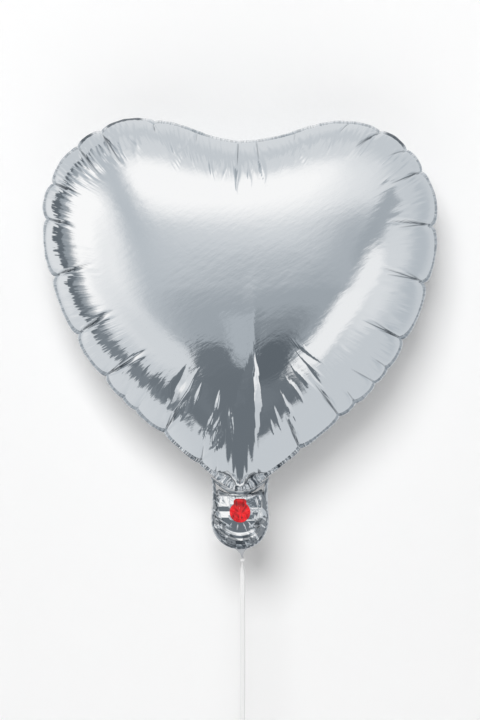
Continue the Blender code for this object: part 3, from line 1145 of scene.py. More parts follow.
    def build(self, name: str, dress: Dress) -> None:
        """Makes the film."""
        place_piece(name, self.mesh(), dress)


@dataclass
class HeartWeld:
    """The crimped band where the heart's films are welded, as a thin closed ring.

    Attributes:
        section: From inside to outside and back, as mm outwards and mm backwards.
        wave: Height and cell of its slow wave in mm, as for its ruffle and its frayed edge.
        neck_z: Levels between which it gathers into the neck.
        painted_shade_arcs: Stretches of the band painted dark as shade, as pairs of degrees about the
            origin.
        curl: Over how many degrees that painted shade fades in at each end.
    """

    columns: int = 3600
    seed: int = 5
    reach: float = 5
    section: Pairs = (
        *((-5.0, -0.35), (-4.1, -0.45), (-3.2, -0.55), (-2.3, -0.55), (-1.4, -0.5), (-0.6, -0.4)),
        *((0.0, -0.3), (0.15, 0.0), (0.0, 0.3), (-5.0, 0.35)),
    )
    wave: Pair = (0.5, 24)
    ruffle: Pair = (0.2, 5)
    fray: Pair = (0.3, 7)
    crimp_cell: float = 1.1
    pucker_cell: float = 1.5
    neck_z: Pair = (-165 * MM, -195 * MM)
    # Painted shade: stretches of the band darkened in colour.
    painted_shade_arcs: Pairs = ((122.5, 133.5), (136.5, 142), (36.5, 44))
    curl: float = 1.5

    def mesh(self) -> Mesh:
        """The ruffled band."""
        rim = Rim(Outline(HEART_SPANS), self.columns)
        crumple = Crumple(self.seed)
        length = rim.outline.length
        low = smooth_step(*self.neck_z, rim.points[:, 1])
        width = weld_width(rim.points) / (self.reach * MM) + 0.4
        wave, ruffle, edge = (
            crumple.ring(layer, rim.along, length, cell) * size * MM
            for layer, (size, cell) in ((1, self.wave), (2, self.ruffle), (3, self.fray))
        )
        crimp = crumple.ring(4, rim.along, length, self.crimp_cell)
        gathers = crimp * (0.06 + 0.8 * low) * MM
        shadow = self.shadow(rim) * 0.85
        rows, shades = [], []
        for reach, y in self.section:
            near_edge = 1 + reach / self.reach
            laid = np.full(self.columns, (reach + y) * width.max() * MM)
            pucker = crumple.facets(6, np.stack([rim.along, laid], axis=-1), self.pucker_cell)
            plan = rim.points + rim.out * (rim.shift + reach * width * MM + edge * near_edge)[:, None]
            depth = y * MM + (wave + ruffle) * near_edge + gathers * (0.4 + 0.6 * near_edge)
            depth = depth + pucker * low * 0.7 * MM
            rows.append(np.stack([plan[:, 0], depth, plan[:, 1]], axis=-1))
            # Painted shade: dark ticks in the crimp's valleys and puckers, strongest at the neck, plus
            # the painted shade of the listed stretches.
            ticks = np.clip(-crimp * 1.3 - 0.6 * pucker * low, 0, 1) * (0.25 + 0.75 * low)
            shades.append(np.maximum(ticks, shadow))
        return band_piece(rows, rim.along, 2 * MM, shades)

    def shadow(self, rim: Rim) -> Array:
        """The painted shade of each column of the band, dark along the listed stretches.

        Args:
            rim: The rim that the band follows.

        Returns:
            The shade of each column, from 0 to 1.
        """
        total = np.zeros(len(rim.angles))
        for start, end in self.painted_shade_arcs:
            inside = smooth_step(start, start + self.curl, rim.angles)
            total = np.maximum(total, inside * smooth_step(end, end - self.curl, rim.angles))
        return total

    def build(self, weld: Material) -> None:
        """Makes the band."""
        place_piece("heart_weld_band", self.mesh(), Dress("envelope_weld", "foil_weld", weld))


@dataclass
class Tab:
    """The filling tab under the heart's tip: two small films and their weld."""

    columns: int = 640
    rows: int = 84
    seat: float = 0.9 * MM
    height: float = 6.5 * MM
    centre: Pair = (0.0, -246 * MM)
    oval: Pair = (21 * MM, 25 * MM)
    flat_share: float = 0.55
    power: float = 2.8
    shape_fade: float = 3
    valve_z: float = -241.6 * MM
    valve_reach: float = 12 * MM
    valve_seat: float = 8.2 * MM
    neck_z: Pair = (-222 * MM, -232 * MM)
    overhang: float = 2.6
    facets: Layers = ((3, 5.2, 0.4), (4, 2.6, 0.15))
    fan: Wrinkles = Wrinkles(5, 1000 / 40, (4, 16), 0.12)
    teeth: Wrinkles = Wrinkles(1, 3.8, (3, 8), 0.34)
    fine_teeth: Wrinkles = Wrinkles(2, 2.4, (3, 6), 0.12)
    weld_columns: int = 1100
    weld_reach: float = 6.5
    weld_section: Pairs = (
        *((6.5, -0.7), (2.4, -0.9), (0.9, -0.6), (0.0, -0.15), (-0.1, 0.0), (0.0, 0.15), (6.5, 0.7)),
    )

    def __post_init__(self) -> None:
        """Samples the film's rim, which runs out close to the tab's edge below its neck."""
        self.outline = Outline(TAB_FILM_SPANS)
        self.along = np.arange(self.columns) * self.outline.length / self.columns
        rim = self.outline.at(self.along)
        below = smooth_step(*self.neck_z, rim[:, 1])
        self.film_rim = rim + self.outline.outward(self.along) * below[:, None] * self.overhang * MM

    def plain_film(self, side: Side) -> tuple[Array, Array]:
        """The film before any wrinkle: a pillow with a flat middle.

        Args:
            side: Which film.

        Returns:
            Its points as (rows, columns, 3), and each point's distance inwards.
        """
        turn = np.linspace(0, 1, self.rows + 1)[:-1] * CROWN_TURN
        flat, shares = rolled_plan(self.film_rim, self.centre, self.oval, turn, self.shape_fade)
        slope = np.clip((shares[..., 0] - self.flat_share) / (1 - self.flat_share), 0, 1)
        lift = self.seat + self.height * np.sqrt(1 - slope**self.power)
        lift = np.broadcast_to(lift, flat.shape[:2])
        points = np.stack([flat[..., 0], side.value * lift, flat[..., 1]], axis=-1)
        return points, np.linalg.norm(flat - flat[:1], axis=-1)

    def shelves(self, x: Array, z: Array) -> Array:
        """Height of the front film above the weld: long faces look down, short ones look up.

        Args:
            x: Places across, in metres.
            z: Levels, in metres.

        Returns:
            The height at each place, in metres.
        """
        bowed = z / MM - (x / (24 * MM)) ** 2 * 12
        right = smooth_step(-4 * MM, 4 * MM, x)
        levels = (-262, -247, -241, -236, -225.8, -225, -221)
        left_side = np.interp(z / MM, levels, (2.4, 8.4, 5.6, 8.2, 4.0, 1.6, 2.8))
        levels = (-262, -250, -249.4, -241.5, -237.5, -224.5, -219)
        right_side = np.interp(z / MM, levels, (2.6, 7.2, 5.8, 8.2, 4.8, 8.0, 3.0))
        upper = left_side * (1 - right) + right_side * right
        bows = (-279, -276.5, -274.3, -270.5, -268.3, -265.5, -262.5, -247)
        lower = np.interp(bowed, bows, (1.0, 2.4, 1.2, 3.4, 2.2, 3.8, 2.2, 8.4))
        share = smooth_step(-260 * MM, -256 * MM, bowed * MM)
        return (upper * share + lower * (1 - share)) * MM

    def bumps(self, crumple: Crumple, plan: Array, inward: Array) -> Array:
        """The crumples of a film in mm: teeth along its rim, a fan round the valve and facets.

        Args:
            crumple: The film's unevenness.
            plan: The place of each point, as (x, z).
            inward: Each point's distance in from the rim.

        Returns:
            The height at each point.
        """
        along = np.broadcast_to(self.along, inward.shape)
        length = self.outline.length
        valve = self.from_valve(plan)
        clear = smooth_step(9 * MM, 15 * MM, valve)
        edge = self.near_edge(inward)
        facets = sum(crumple.facets(layer, plan, cell) * size for layer, cell, size in self.facets)
        turn = np.arctan2(plan[..., 1] - self.valve_z, plan[..., 0]) / (2 * math.pi)
        fan = crumple.comb(self.fan, turn, valve - 10 * MM, 1.0)
        teeth = crumple.comb(self.teeth, along, inward, length)
        fine = crumple.comb(self.fine_teeth, along, inward, length)
        pleats = (fan + teeth + fine) * smooth_step(0.3, 1, clear)
        return facets * (0.25 + 0.75 * edge) * clear + pleats

    def from_valve(self, plan: Array) -> Array:
        """Each place's distance from the middle of the valve."""
        return np.linalg.norm(plan - (0, self.valve_z), axis=-1)

    def near_edge(self, inward: Array) -> Array:
        """How near the rim each point is, from 0 to 1."""
        return smooth_step(16 * MM, 7 * MM, inward)

    def film_shade(self, crumple: Crumple, plan: Array, inward: Array) -> Array:
        """The painted shade of a film: dark patches beside its flat middle and at its neck.

        Args:
            crumple: The film's unevenness.
            plan: The place of each point, as (x, z).
            inward: Each point's distance in from the rim.

        Returns:
            The shade at each point, from 0 to 1.
        """
        across, level = np.abs(plan[..., 0]), plan[..., 1]
        patch = crumple.facets(6, plan, 3.6)
        lower = smooth_step(-246 * MM, -250 * MM, level)
        limit = (21 - 6.5 * lower) * MM
        beside = smooth_step(-1.5 * MM, 1.5 * MM, across - limit)
        beside = np.maximum(beside, lower * self.near_edge(inward) * (patch < -0.1))
        neck = smooth_step(-225.5 * MM, -224 * MM, level) * smooth_step(7 * MM, 10 * MM, across)
        neck = neck * np.where(patch < 0.5, 0.72, 0.2)
        return np.maximum(beside * np.where(patch < 0.25, 0.7, 0.05), neck)

    def film_mesh(self, side: Side, seed: int) -> Mesh:
        """The whole film of one side, crumpled round the valve.

        Args:
            side: Which film.
            seed: Seed of its unevenness.

        Returns:
            The mesh.
        """
        points, inward = self.plain_film(side)
        crumple = Crumple(seed)
        plan = points[..., (0, 2)]
        height = side.value * points[..., 1]
        if side is Side.FRONT:
            rise = 1 - (1 - np.clip(inward / (7 * MM), 0, 1)) ** 2.4
            height = self.seat + self.shelves(plan[..., 0], plan[..., 1]) * rise
        bumps = self.bumps(crumple, plan, inward)
        height = height + bumps * MM * smooth_step(-1 * MM, 4 * MM, inward)
        if side is Side.FRONT:
            height = height + ridges(plan, TAB_FOLDS)
        under_valve = self.from_valve(plan) < self.valve_reach
        height = np.where(under_valve, np.minimum(height, self.valve_seat), height)
        points[..., 1] = side.value * np.maximum(height, self.seat)
        along = np.broadcast_to(self.along, inward.shape)
        return film_piece(points, along, inward, self.film_shade(crumple, plan, inward))

    def weld_mesh(self, seed: int) -> Mesh:
        """The flat band round the tab, crimped by its heat seal.

        Args:
            seed: Seed of its unevenness.

        Returns:
            The mesh.
        """
        outline = Outline(TAB_SPANS)
        along = np.arange(self.weld_columns) * outline.length / self.weld_columns
        outer = outline.at(along)
        out = outline.outward(along)
        crumple = Crumple(seed)
        wave = crumple.ring(1, along, outline.length, 11) * 0.5 * MM
        crimp = crumple.ring(2, along, outline.length, 2.4)
        toward = np.array(self.centre) - outer
        toward /= np.linalg.norm(toward, axis=1, keepdims=True)
        # Painted shade: the band is darkened all over, more in the crimp's valleys, and its outer edge
        # is left light.
        crimped = 0.55 + np.clip(-crimp, -0.3, 1) * 0.4
        rows, shades = [], []
        for reach, y in self.weld_section:
            blend = min(reach / self.weld_reach, 1.0)
            plan = outer + (toward * blend - out * (1 - blend)) * reach * MM
            depth = y * MM + (wave + crimp * 0.3 * MM) * (1 - max(reach, 0.0) / self.weld_reach)
            rows.append(np.stack([plan[:, 0], depth, plan[:, 1]], axis=-1))
            shades.append(crimped * smooth_step(0.1, 1.2, abs(reach)))
        return band_piece(rows, along, 2 * MM, shades)

    def build(self, foil: Material, weld: Material) -> None:
        """Makes the tab's two films and its weld.

        Args:
            foil: The films' material.
            weld: The weld's material.
        """
        front = Dress("tail_front", "silver_foil", foil)
        back = Dress("tail_back", "silver_foil", foil)
        place_piece("tab_film_front", self.film_mesh(Side.FRONT, 31), front)
        place_piece("tab_film_back", self.film_mesh(Side.BACK, 37), back)
        place_piece("tab_weld_band", self.weld_mesh(41), Dress("tail_weld", "foil_weld", weld))


@dataclass
class Valve:
    """The red valve film on the tab's front and the puckered port in its middle."""

    centre_z: float = -241.6 * MM
    radius: float = 10.3 * MM
    neck_half: float = 6.4 * MM
    top_z: float = -228.2 * MM
    seat_y: float = -8.4 * MM
    columns: int = 360
    rows: int = 26
    crown_share: float = 0.03
    corner: float = 3.2 * MM
    hem: float = 0.9 * MM
    neck_z: Pair = (-237 * MM, -234 * MM)
    pleats: Wrinkles = Wrinkles(1, 1000 / 17, (9, 9))
    small_pleats: Wrinkles = Wrinkles(2, 1000 / 41, (9, 9))
    facet: float = 4.6
    port_section: float = 0.42 * MM
    port_radius: float = 1.5 * MM
    port_shape: Pair = (0.62, 1.55)
    port_place: Pair = (-1.4 * MM, -2 * MM)
    port_puckers: int = 7
    port_pucker: float = 0.10

    def rim(self) -> Array:
        """The keyhole outline of the film, anticlockwise, as evenly spaced points."""
        turn = math.asin(self.neck_half / self.radius)
        angles = np.linspace(math.pi / 2 + turn, 2.5 * math.pi - turn, 220)
        disc = np.stack([np.cos(angles), np.sin(angles)], axis=-1) * self.radius
        height = self.top_z - self.centre_z
        bend = np.linspace(0, math.pi / 2, 20)[:, None]
        arc = np.hstack([np.cos(bend), np.sin(bend)]) * self.corner
        right = arc + (self.neck_half - self.corner, height - self.corner)
        left = right[::-1] * (-1, 1)
        loop = np.vstack([disc, right, left, disc[:1]])
        runs = np.concatenate([[0], np.cumsum(np.linalg.norm(np.diff(loop, axis=0), axis=1))])
        spots = np.arange(self.columns) * runs[-1] / self.columns
        points = np.stack([np.interp(spots, runs, loop[:, k]) for k in (0, 1)], axis=-1)
        return points + (0, self.centre_z)

    def film_mesh(self, seed: int) -> Mesh:
        """The crumpled film, pleated from its port outwards.

        Args:
            seed: Seed of its unevenness.

        Returns:
            The mesh.
        """
        rim = self.rim()
        crumple = Crumple(seed)
        shares = np.linspace(1, self.crown_share, self.rows)[:, None, None]
        centre = np.array([0.0, self.centre_z])
        plan = centre + (rim - centre) * shares
        out = shares[..., 0]
        turn = np.broadcast_to(np.arange(self.columns) / self.columns, plan.shape[:2])
        pleat, small = (
            crumple.comb(layer, turn, np.zeros_like(turn), 1.0) - 0.4
            for layer in (self.pleats, self.small_pleats)
        )
        sharp = crumple.facets(3, plan, self.facet)
        creased = ridges(plan, VALVE_FOLDS) / MM
        raised = ridges(plan, VALVE_LIGHTS) / MM
        swell = pleat * 0.9 * out * (1.15 - out) * 2 + small * 0.3 * out
        swell = swell + sharp * 1.4 - 1.2 * creased + 0.6 * raised
        height = (1.1 + swell + 0.5 * (1 - out**2)) * MM
        points = np.stack([plan[..., 0], self.seat_y - height, plan[..., 1]], axis=-1)
        back = np.full(self.columns, self.seat_y + self.hem)
        hem = np.stack([rim[:, 0], back, rim[:, 1]], axis=-1)
        points = np.concatenate([hem[None], points])
        inward = np.linalg.norm(points - points[:1], axis=-1)
        along = np.broadcast_to(turn[:1] * 80 * MM, inward.shape)
        neck = smooth_step(*self.neck_z, plan[..., 1])
        # Painted shade and highlights: a mid shade all over, darker at the neck and along the pressed
        # folds, lighter on higher facets and along the raised folds.
        dark = 0.42 + 0.22 * neck - 0.45 * sharp + 0.8 * creased - 0.7 * raised
        shade = np.concatenate([np.zeros((1, self.columns)), np.clip(dark, 0, 0.95)])
        return film_piece(points, along, inward, shade)

    def port_mesh(self) -> Mesh:
        """The port's puckered lip, a small ring with a slit down its middle."""
        bm = bmesh.new()
        start = bmesh.ops.create_circle(bm, segments=14, radius=self.port_section)["verts"]
        bmesh.ops.translate(bm, verts=start, vec=(self.port_radius, 0, 0))
        spin_round(bm, bm.verts[:] + bm.edges[:], (0, 1, 0), 48)
        for vert in bm.verts:
            angle = math.atan2(vert.co.z, vert.co.x)
            pucker = 1 + self.port_pucker * math.sin(self.port_puckers * angle)
            vert.co.x *= self.port_shape[0] * pucker
            vert.co.z *= self.port_shape[1] * pucker
        bmesh.ops.recalc_face_normals(bm, faces=bm.faces)
        forward, up = self.port_place
        place = (0, self.seat_y + forward, self.centre_z + up)
        bmesh.ops.translate(bm, verts=bm.verts, vec=place)
        return bm

    def build(self, red: Material) -> None:
        """Makes the film and the port."""
        film = place_piece("valve_film", self.film_mesh(53), Dress("valve_patch", "red_film", red))
        film.visible_glossy = False
        place_piece("valve_lip", self.port_mesh(), Dress("valve_port", "red_film", red))


@dataclass
class Tip:
    """The gathered film behind the tab's foot, which narrows to the ribbon's knot."""

    top_z: float = -274.0 * MM
    end_z: float = -288.0 * MM
    top_half: float = 14.0 * MM
    end_half: float = 0.9 * MM
    flare: float = 2.2
    middle_y: float = 1.5 * MM
    shift_x: float = 2.5 * MM
    pleats: int = 11
    pleat_depth: float = 0.30
    thick: Pair = (0.65, 0.05)
    columns: int = 96
    rows: int = 36

    def mesh(self) -> Mesh:
        """A flattened cone of pleated film."""
        t = np.linspace(0, 1, self.rows)[:, None]
        turn = np.arange(self.columns)[None, :] / self.columns * 2 * math.pi
        half = self.end_half + (self.top_half - self.end_half) * (1 - t) ** self.flare
        wave = np.sin(self.pleats * turn + 1.4 * np.sin(2 * turn))
        pleats = 1 + self.pleat_depth * wave * (0.4 + 0.6 * t)
        thick = (self.thick[0] - self.thick[1] * t) * MM * pleats
        x = self.shift_x * t + half * np.cos(turn)
        y = self.middle_y + thick * np.sin(turn)
        z = self.top_z + (self.end_z - self.top_z) * t + 0 * turn
        points = np.stack([x, y, z], axis=-1)
        along = np.broadcast_to(turn * 5 * MM, z.shape)
        inward = np.broadcast_to(t * 14 * MM, z.shape)
        bm = rolled_grid(points, along, inward)
        close_loop(bm, points[0])
        close_loop(bm, points[-1])
        bmesh.ops.recalc_face_normals(bm, faces=bm.faces)
        return bm

    def build(self, grey: Material) -> None:
        """Makes the gathered tip."""
        place_piece("gathered_tip", self.mesh(), Dress("tail_tip", "grey_film", grey))


def smooth_route(route: tuple[Triple, ...], per_span: int) -> list[Vector]:
    """Points on a smooth curve through all the route's points.

    Args:
        route: The points.
        per_span: How many points from one of them to the next.

    Returns:
        The points of the curve.
    """
    knots = [Vector(p) for p in route]
    knots = [2 * knots[0] - knots[1], *knots, 2 * knots[-1] - knots[-2]]
    found = []
    for i in range(1, len(knots) - 2):
        start_tangent = (knots[i + 1] - knots[i - 1]) / 2
        end_tangent = (knots[i + 2] - knots[i]) / 2
        for k in range(per_span):
            t = k / per_span
            start = knots[i] * (2 * t**3 - 3 * t**2 + 1) + start_tangent * (t**3 - 2 * t**2 + t)
            end = knots[i + 1] * (3 * t**2 - 2 * t**3) + end_tangent * (t**3 - t**2)
            found.append(start + end)
    return [*found, knots[-2]]


def spin_round(bm: Mesh, geom: list, axis: Triple, steps: int) -> None:
    """Spins part of a mesh once round an axis through the origin, and merges its ends.

    Args:
        bm: The mesh.
        geom: The vertices and edges to spin.
        axis: The axis.
        steps: How many steps make the turn.
    """
    whole = 2 * math.pi
    bmesh.ops.spin(bm, geom=geom, cent=(0, 0, 0), axis=axis, angle=whole, steps=steps, use_merge=True)


@dataclass
class Ribbon:
    """The flat ribbon with the knot that ties it on, its end knot and its hand loop."""

    width: float = 5 * MM
    thick: float = 0.35 * MM
    curl: float = 0.25 * MM
    turn: float = 12
    twist: float = 66
    twist_run: float = 16 * MM
    narrowing: float = 0.55
    knot_radii: Triple = (2.4 * MM, 2.0 * MM, 1.8 * MM)
    knot_core: float = 0.82
    wrap_section: Pair = (0.12, 0.34)
    wrap_radius: float = 0.88
    wraps: Pairs = ((-24, 10), (4, 60), (27, -35))
    loop_radii: Pair = (7.5 * MM, 12 * MM)
    loop_pinch: float = 0.45
    loop_narrowing: float = 0.35
    loop_columns: int = 120
    gap: float = 0.3 * MM
    length: float = 0.167

    ROUND = (
        *((-1, -1), (-0.5, -1), (0, -1), (0.5, -1), (1, -1)),
        *((1, 1), (0.5, 1), (0, 1), (-0.5, 1), (-1, 1)),
    )

    def section(self, middle: Vector, top: float) -> list[Vector]:
        """The rounded section of the strip at one of its points.

        Args:
            middle: The middle of the strip there.
            top: The level of the strip's upper end.

        Returns:
            Points round the section.
        """
        near_knot = max(0.0, 1 - (top - middle.z) / self.twist_run)
        angle = math.radians(self.turn + self.twist * near_knot**2)
        half = self.width / 2 * (1 - self.narrowing * near_knot**2)
        wide = Vector((math.cos(angle), math.sin(angle), 0))
        thin = Vector((-math.sin(angle), math.cos(angle), 0)) * self.thick / 2
        curl = Vector((-math.sin(angle), math.cos(angle), 0)) * self.curl
        return [middle + wide * half * u + thin * face + curl * (u**2 - 0.5) for u, face in self.ROUND]

    def strip_mesh(self, middles: list[Vector]) -> Mesh:
        """The ribbon itself, a thin strip that turns edge-on as it nears its knot.

        Args:
            middles: Points down its middle.

        Returns:
            The mesh.
        """
        points = np.array([self.section(m, middles[0].z) for m in middles])
        rows, columns = points.shape[:2]
        along = np.broadcast_to(np.arange(columns) * MM, (rows, columns))
        inward = np.broadcast_to(np.arange(rows)[:, None] * MM, (rows, columns))
        bm = rolled_grid(points, along, inward)
        close_loop(bm, points[0])
        close_loop(bm, points[-1])
        bmesh.ops.recalc_face_normals(bm, faces=bm.faces)
        return bm

    def knot_mesh(self, middle: Vector) -> Mesh:
        """A knot of three crossing wraps of the ribbon round a small core.

        Args:
            middle: Where it sits.

        Returns:
            The mesh.
        """
        bm = bmesh.new()
        core = bmesh.ops.create_icosphere(bm, subdivisions=3, radius=self.knot_core)["verts"]
        bmesh.ops.scale(bm, vec=(1, 1, 0.9), verts=core)
        upright = Matrix.Rotation(math.pi / 2, 3, "X")
        for tilt, swing in self.wraps:
            made = bmesh.ops.create_circle(bm, segments=12, radius=1)["verts"]
            bmesh.ops.scale(bm, vec=(*self.wrap_section, 1), verts=made)
            bmesh.ops.rotate(bm, cent=(0, 0, 0), matrix=upright, verts=made)
            bmesh.ops.translate(bm, verts=made, vec=(self.wrap_radius, 0, 0))
            edges = list({e for v in made for e in v.link_edges})
            spin_round(bm, made + edges, (0, 0, 1), 36)
            wrap = [v for v in bm.verts if v not in core and not v.tag]
            turn = Matrix.Rotation(math.radians(tilt), 3, "X")
            turn = Matrix.Rotation(math.radians(swing), 3, "Z") @ turn
            bmesh.ops.rotate(bm, cent=(0, 0, 0), matrix=turn, verts=wrap)
            for vert in wrap:
                vert.tag = True
        bmesh.ops.scale(bm, vec=self.knot_radii, verts=bm.verts)
        bmesh.ops.translate(bm, verts=bm.verts, vec=middle)
        bmesh.ops.recalc_face_normals(bm, faces=bm.faces)
        return bm

    def loop_mesh(self, top: Vector) -> Mesh:
        """The hand loop under the end knot, pinched narrow where it leaves the knot.

        Args:
            top: Where it leaves the knot.

        Returns:
            The mesh.
        """
        angles = np.arange(self.loop_columns) * 2 * math.pi / self.loop_columns
        wide, tall = self.loop_radii
        upper = np.maximum(0, np.sin(angles))
        pinch = 1 - self.loop_pinch * upper**2
        rows = []
        for y, face in self.ROUND:
            shrink = max(face, 0) * self.thick
            x = (wide - shrink) * np.cos(angles) * pinch
            z = (tall - shrink) * np.sin(angles)
            depth = y * self.width / 2 * (1 - self.loop_narrowing * upper**4)
            rows.append(np.stack([x, depth, z], axis=-1) + (top.x, top.y, top.z - tall))
        return band_piece(rows, angles * 10 * MM, MM)

    def build(self, white: Material) -> None:
        """Args:
            white: Their material.
        """
        middles = smooth_route(RIBBON_ROUTE, 4)
        to_knot = Vector((0, 0, self.gap + self.knot_radii[2]))
        names = ("ribbon_knot", "ribbon_end_knot", "ribbon_end_loop", "ribbon")
        dresses = {name: Dress(name, "white_ribbon", white) for name in names}
        strip_mesh = self.strip_mesh(smooth_route(RIBBON_ROUTE, 16))
        strip = place_piece("ribbon_strip", strip_mesh, dresses["ribbon"])
        top = self.knot_mesh(middles[0] + to_knot)
        end = self.knot_mesh(middles[-1] - to_knot)
        place_piece("tied_knot", top, dresses["ribbon_knot"])
        end_knot = place_piece("end_knot", end, dresses["ribbon_end_knot"])
        loop_mesh = self.loop_mesh(middles[-1] - 2 * to_knot)
        loop = place_piece("hand_loop", loop_mesh, dresses["ribbon_end_loop"])


class PatchShape(Enum):
    """The outline of a patch of light or shade."""

    OVAL = "oval"
    STRIP = "strip"


@dataclass(frozen=True)
class Patch:
    """A soft-edged patch of light or shade in the room that the foil mirrors.

    Places are read on a chart round the direction of the camera, in degrees away from it.

    Attributes:
        tone: Its tone as it shows on a screen, from 0 to 255.
        start: An oval's centre or a strip's first end, right and up in degrees.
        size: An oval's half width and half height, or a strip's other end.
        width: An oval's turn anticlockwise, or a strip's half width, in degrees.
        soft: Softness of its edge as a share of its size.
        amount: How much of what lies under it the patch covers.
        shape: Its outline.
    """

    tone: float
    start: Pair
    size: Pair
    width: float
    soft: float
    amount: float = 1.0
    shape: PatchShape = PatchShape.OVAL

    def settings(self) -> dict[str, object]:
        """The values of the patch's own sockets in its node group."""
        start = (*self.start, 0)
        if self.shape is PatchShape.STRIP:
            return {"Start": start, "End": (*self.size, 0), "Width": self.width}
        return {"Centre": start, "Half Size": (*self.size, 1), "Turn": math.radians(self.width)}


def band(
    tone: float, start: Pair, end: Pair, width: float, soft: float, amount: float = 1.0
) -> Patch:
    """A straight strip of light or shade between two places of the chart."""
    return Patch(tone, start, end, width, soft, amount, PatchShape.STRIP)


# The room from back to front: pale rims, white panels, the grey camera side and the dark gaps.
STUDIO: tuple[Patch, ...] = (
    Patch(211, (-105, -60), (50, 60), 0, 0.6),
    Patch(224, (-128, 4), (26, 56), 0, 0.5),
    Patch(189, (106, -5), (18, 60), 0, 0.7),
    Patch(214, (62, -6), (18, 24), 0, 0.6),
    Patch(216, (-5, 150), (70, 34), 0, 0.5),
    Patch(184, (-46, 56), (15, 20), 0, 0.5, 0.8),
    Patch(228, (10, 44), (38, 28), 0, 0.6),
    Patch(250, (-7, 46), (24, 22), 0, 0.5),
    Patch(220, (-4, 84), (22, 12), 0, 0.5, 0.6),
    Patch(165, (11, -20), (32, 24), 0, 0.4),
    Patch(182, (-24, -2), (10, 16), -20, 0.8, 0.5),
    Patch(170, (31, 10), (15, 13), 0, 0.8, 0.8),
    band(166, (38, 4), (54, 28), 7, 0.6, 0.9),
    band(190, (-26, 14), (-40, 70), 7, 0.8, 0.9),
    Patch(252, (-60, 5), (25, 37), 0, 0.3),
    Patch(229, (-40, -2), (12, 20), 0, 0.6, 0.7),
    Patch(224, (-44, -24), (24, 13), -40, 0.6, 0.8),
    Patch(213, (-26, -33), (18, 8), -20, 0.5, 0.9),
    Patch(223, (50, -24), (18, 18), 0, 0.6, 0.8),
    band(236, (36, -20), (46, -4), 9, 0.5),
    band(238, (27, -38), (37, -18), 8.5, 0.4),
    band(166, (-66, 68), (-88, 42), 10, 0.35),
    band(150, (-90, 42), (-93, 6), 10, 0.8, 0.85),
    band(150, (-93, 6), (-91, -20), 12, 0.8, 0.85),
    band(146, (-91, -20), (-74, -46), 11, 0.8, 0.85),
    band(116, (-80, 64), (-99, 40), 4, 0.35),
    band(110, (-99, 40), (-102, 6), 7, 0.35),
    band(108, (-102, 6), (-100, -20), 7, 0.35),
    band(114, (-100, -20), (-82, -46), 8, 0.35),
    band(106, (-110, 22), (-112, 8), 9, 0.35),
    band(130, (-80, -46), (-62, -56), 9, 0.35),
    band(128, (-62, -56), (-44, -62), 9, 0.35),
    band(119, (-43, -60), (-24, -56), 7, 0.3),
    Patch(115, (-24, -61), (8, 9), 0, 0.25),
    Patch(128, (8, -21), (10, 8), 0, 0.6, 0.7),
    Patch(102, (9.5, -36), (8.5, 14), 0, 0.25),
    Patch(113, (14, -54), (18, 14), 0, 0.2),
    Patch(118, (-6.5, -35), (9.5, 12), 0, 0.2),
    Patch(114, (-15, -43), (6, 5), 0, 0.3),
    band(180, (0, -14), (1, -29), 3.5, 0.5, 0.9),
    Patch(119, (-4, -50), (25, 9), 0, 0.3),
    Patch(113, (-0.5, -90), (15, 14), 0, 0.2),
    Patch(113, (-3, -66), (14, 34), 0, 0.2),
    Patch(113, (-1, -74), (17, 22), 0, 0.15),
)


def screen_tone(tone: float) -> tuple[float, float, float, float]:
    """The linear colour of a cool grey that shows as this tone on a screen."""
    tint = min(max((256 - tone) / 9, 0), 8)
    shown = ((tone - tint) / 255, tone / 255, (tone + tint * 0.9) / 255)
    return (*(((s + 0.055) / 1.055) ** 2.4 for s in shown), 1)


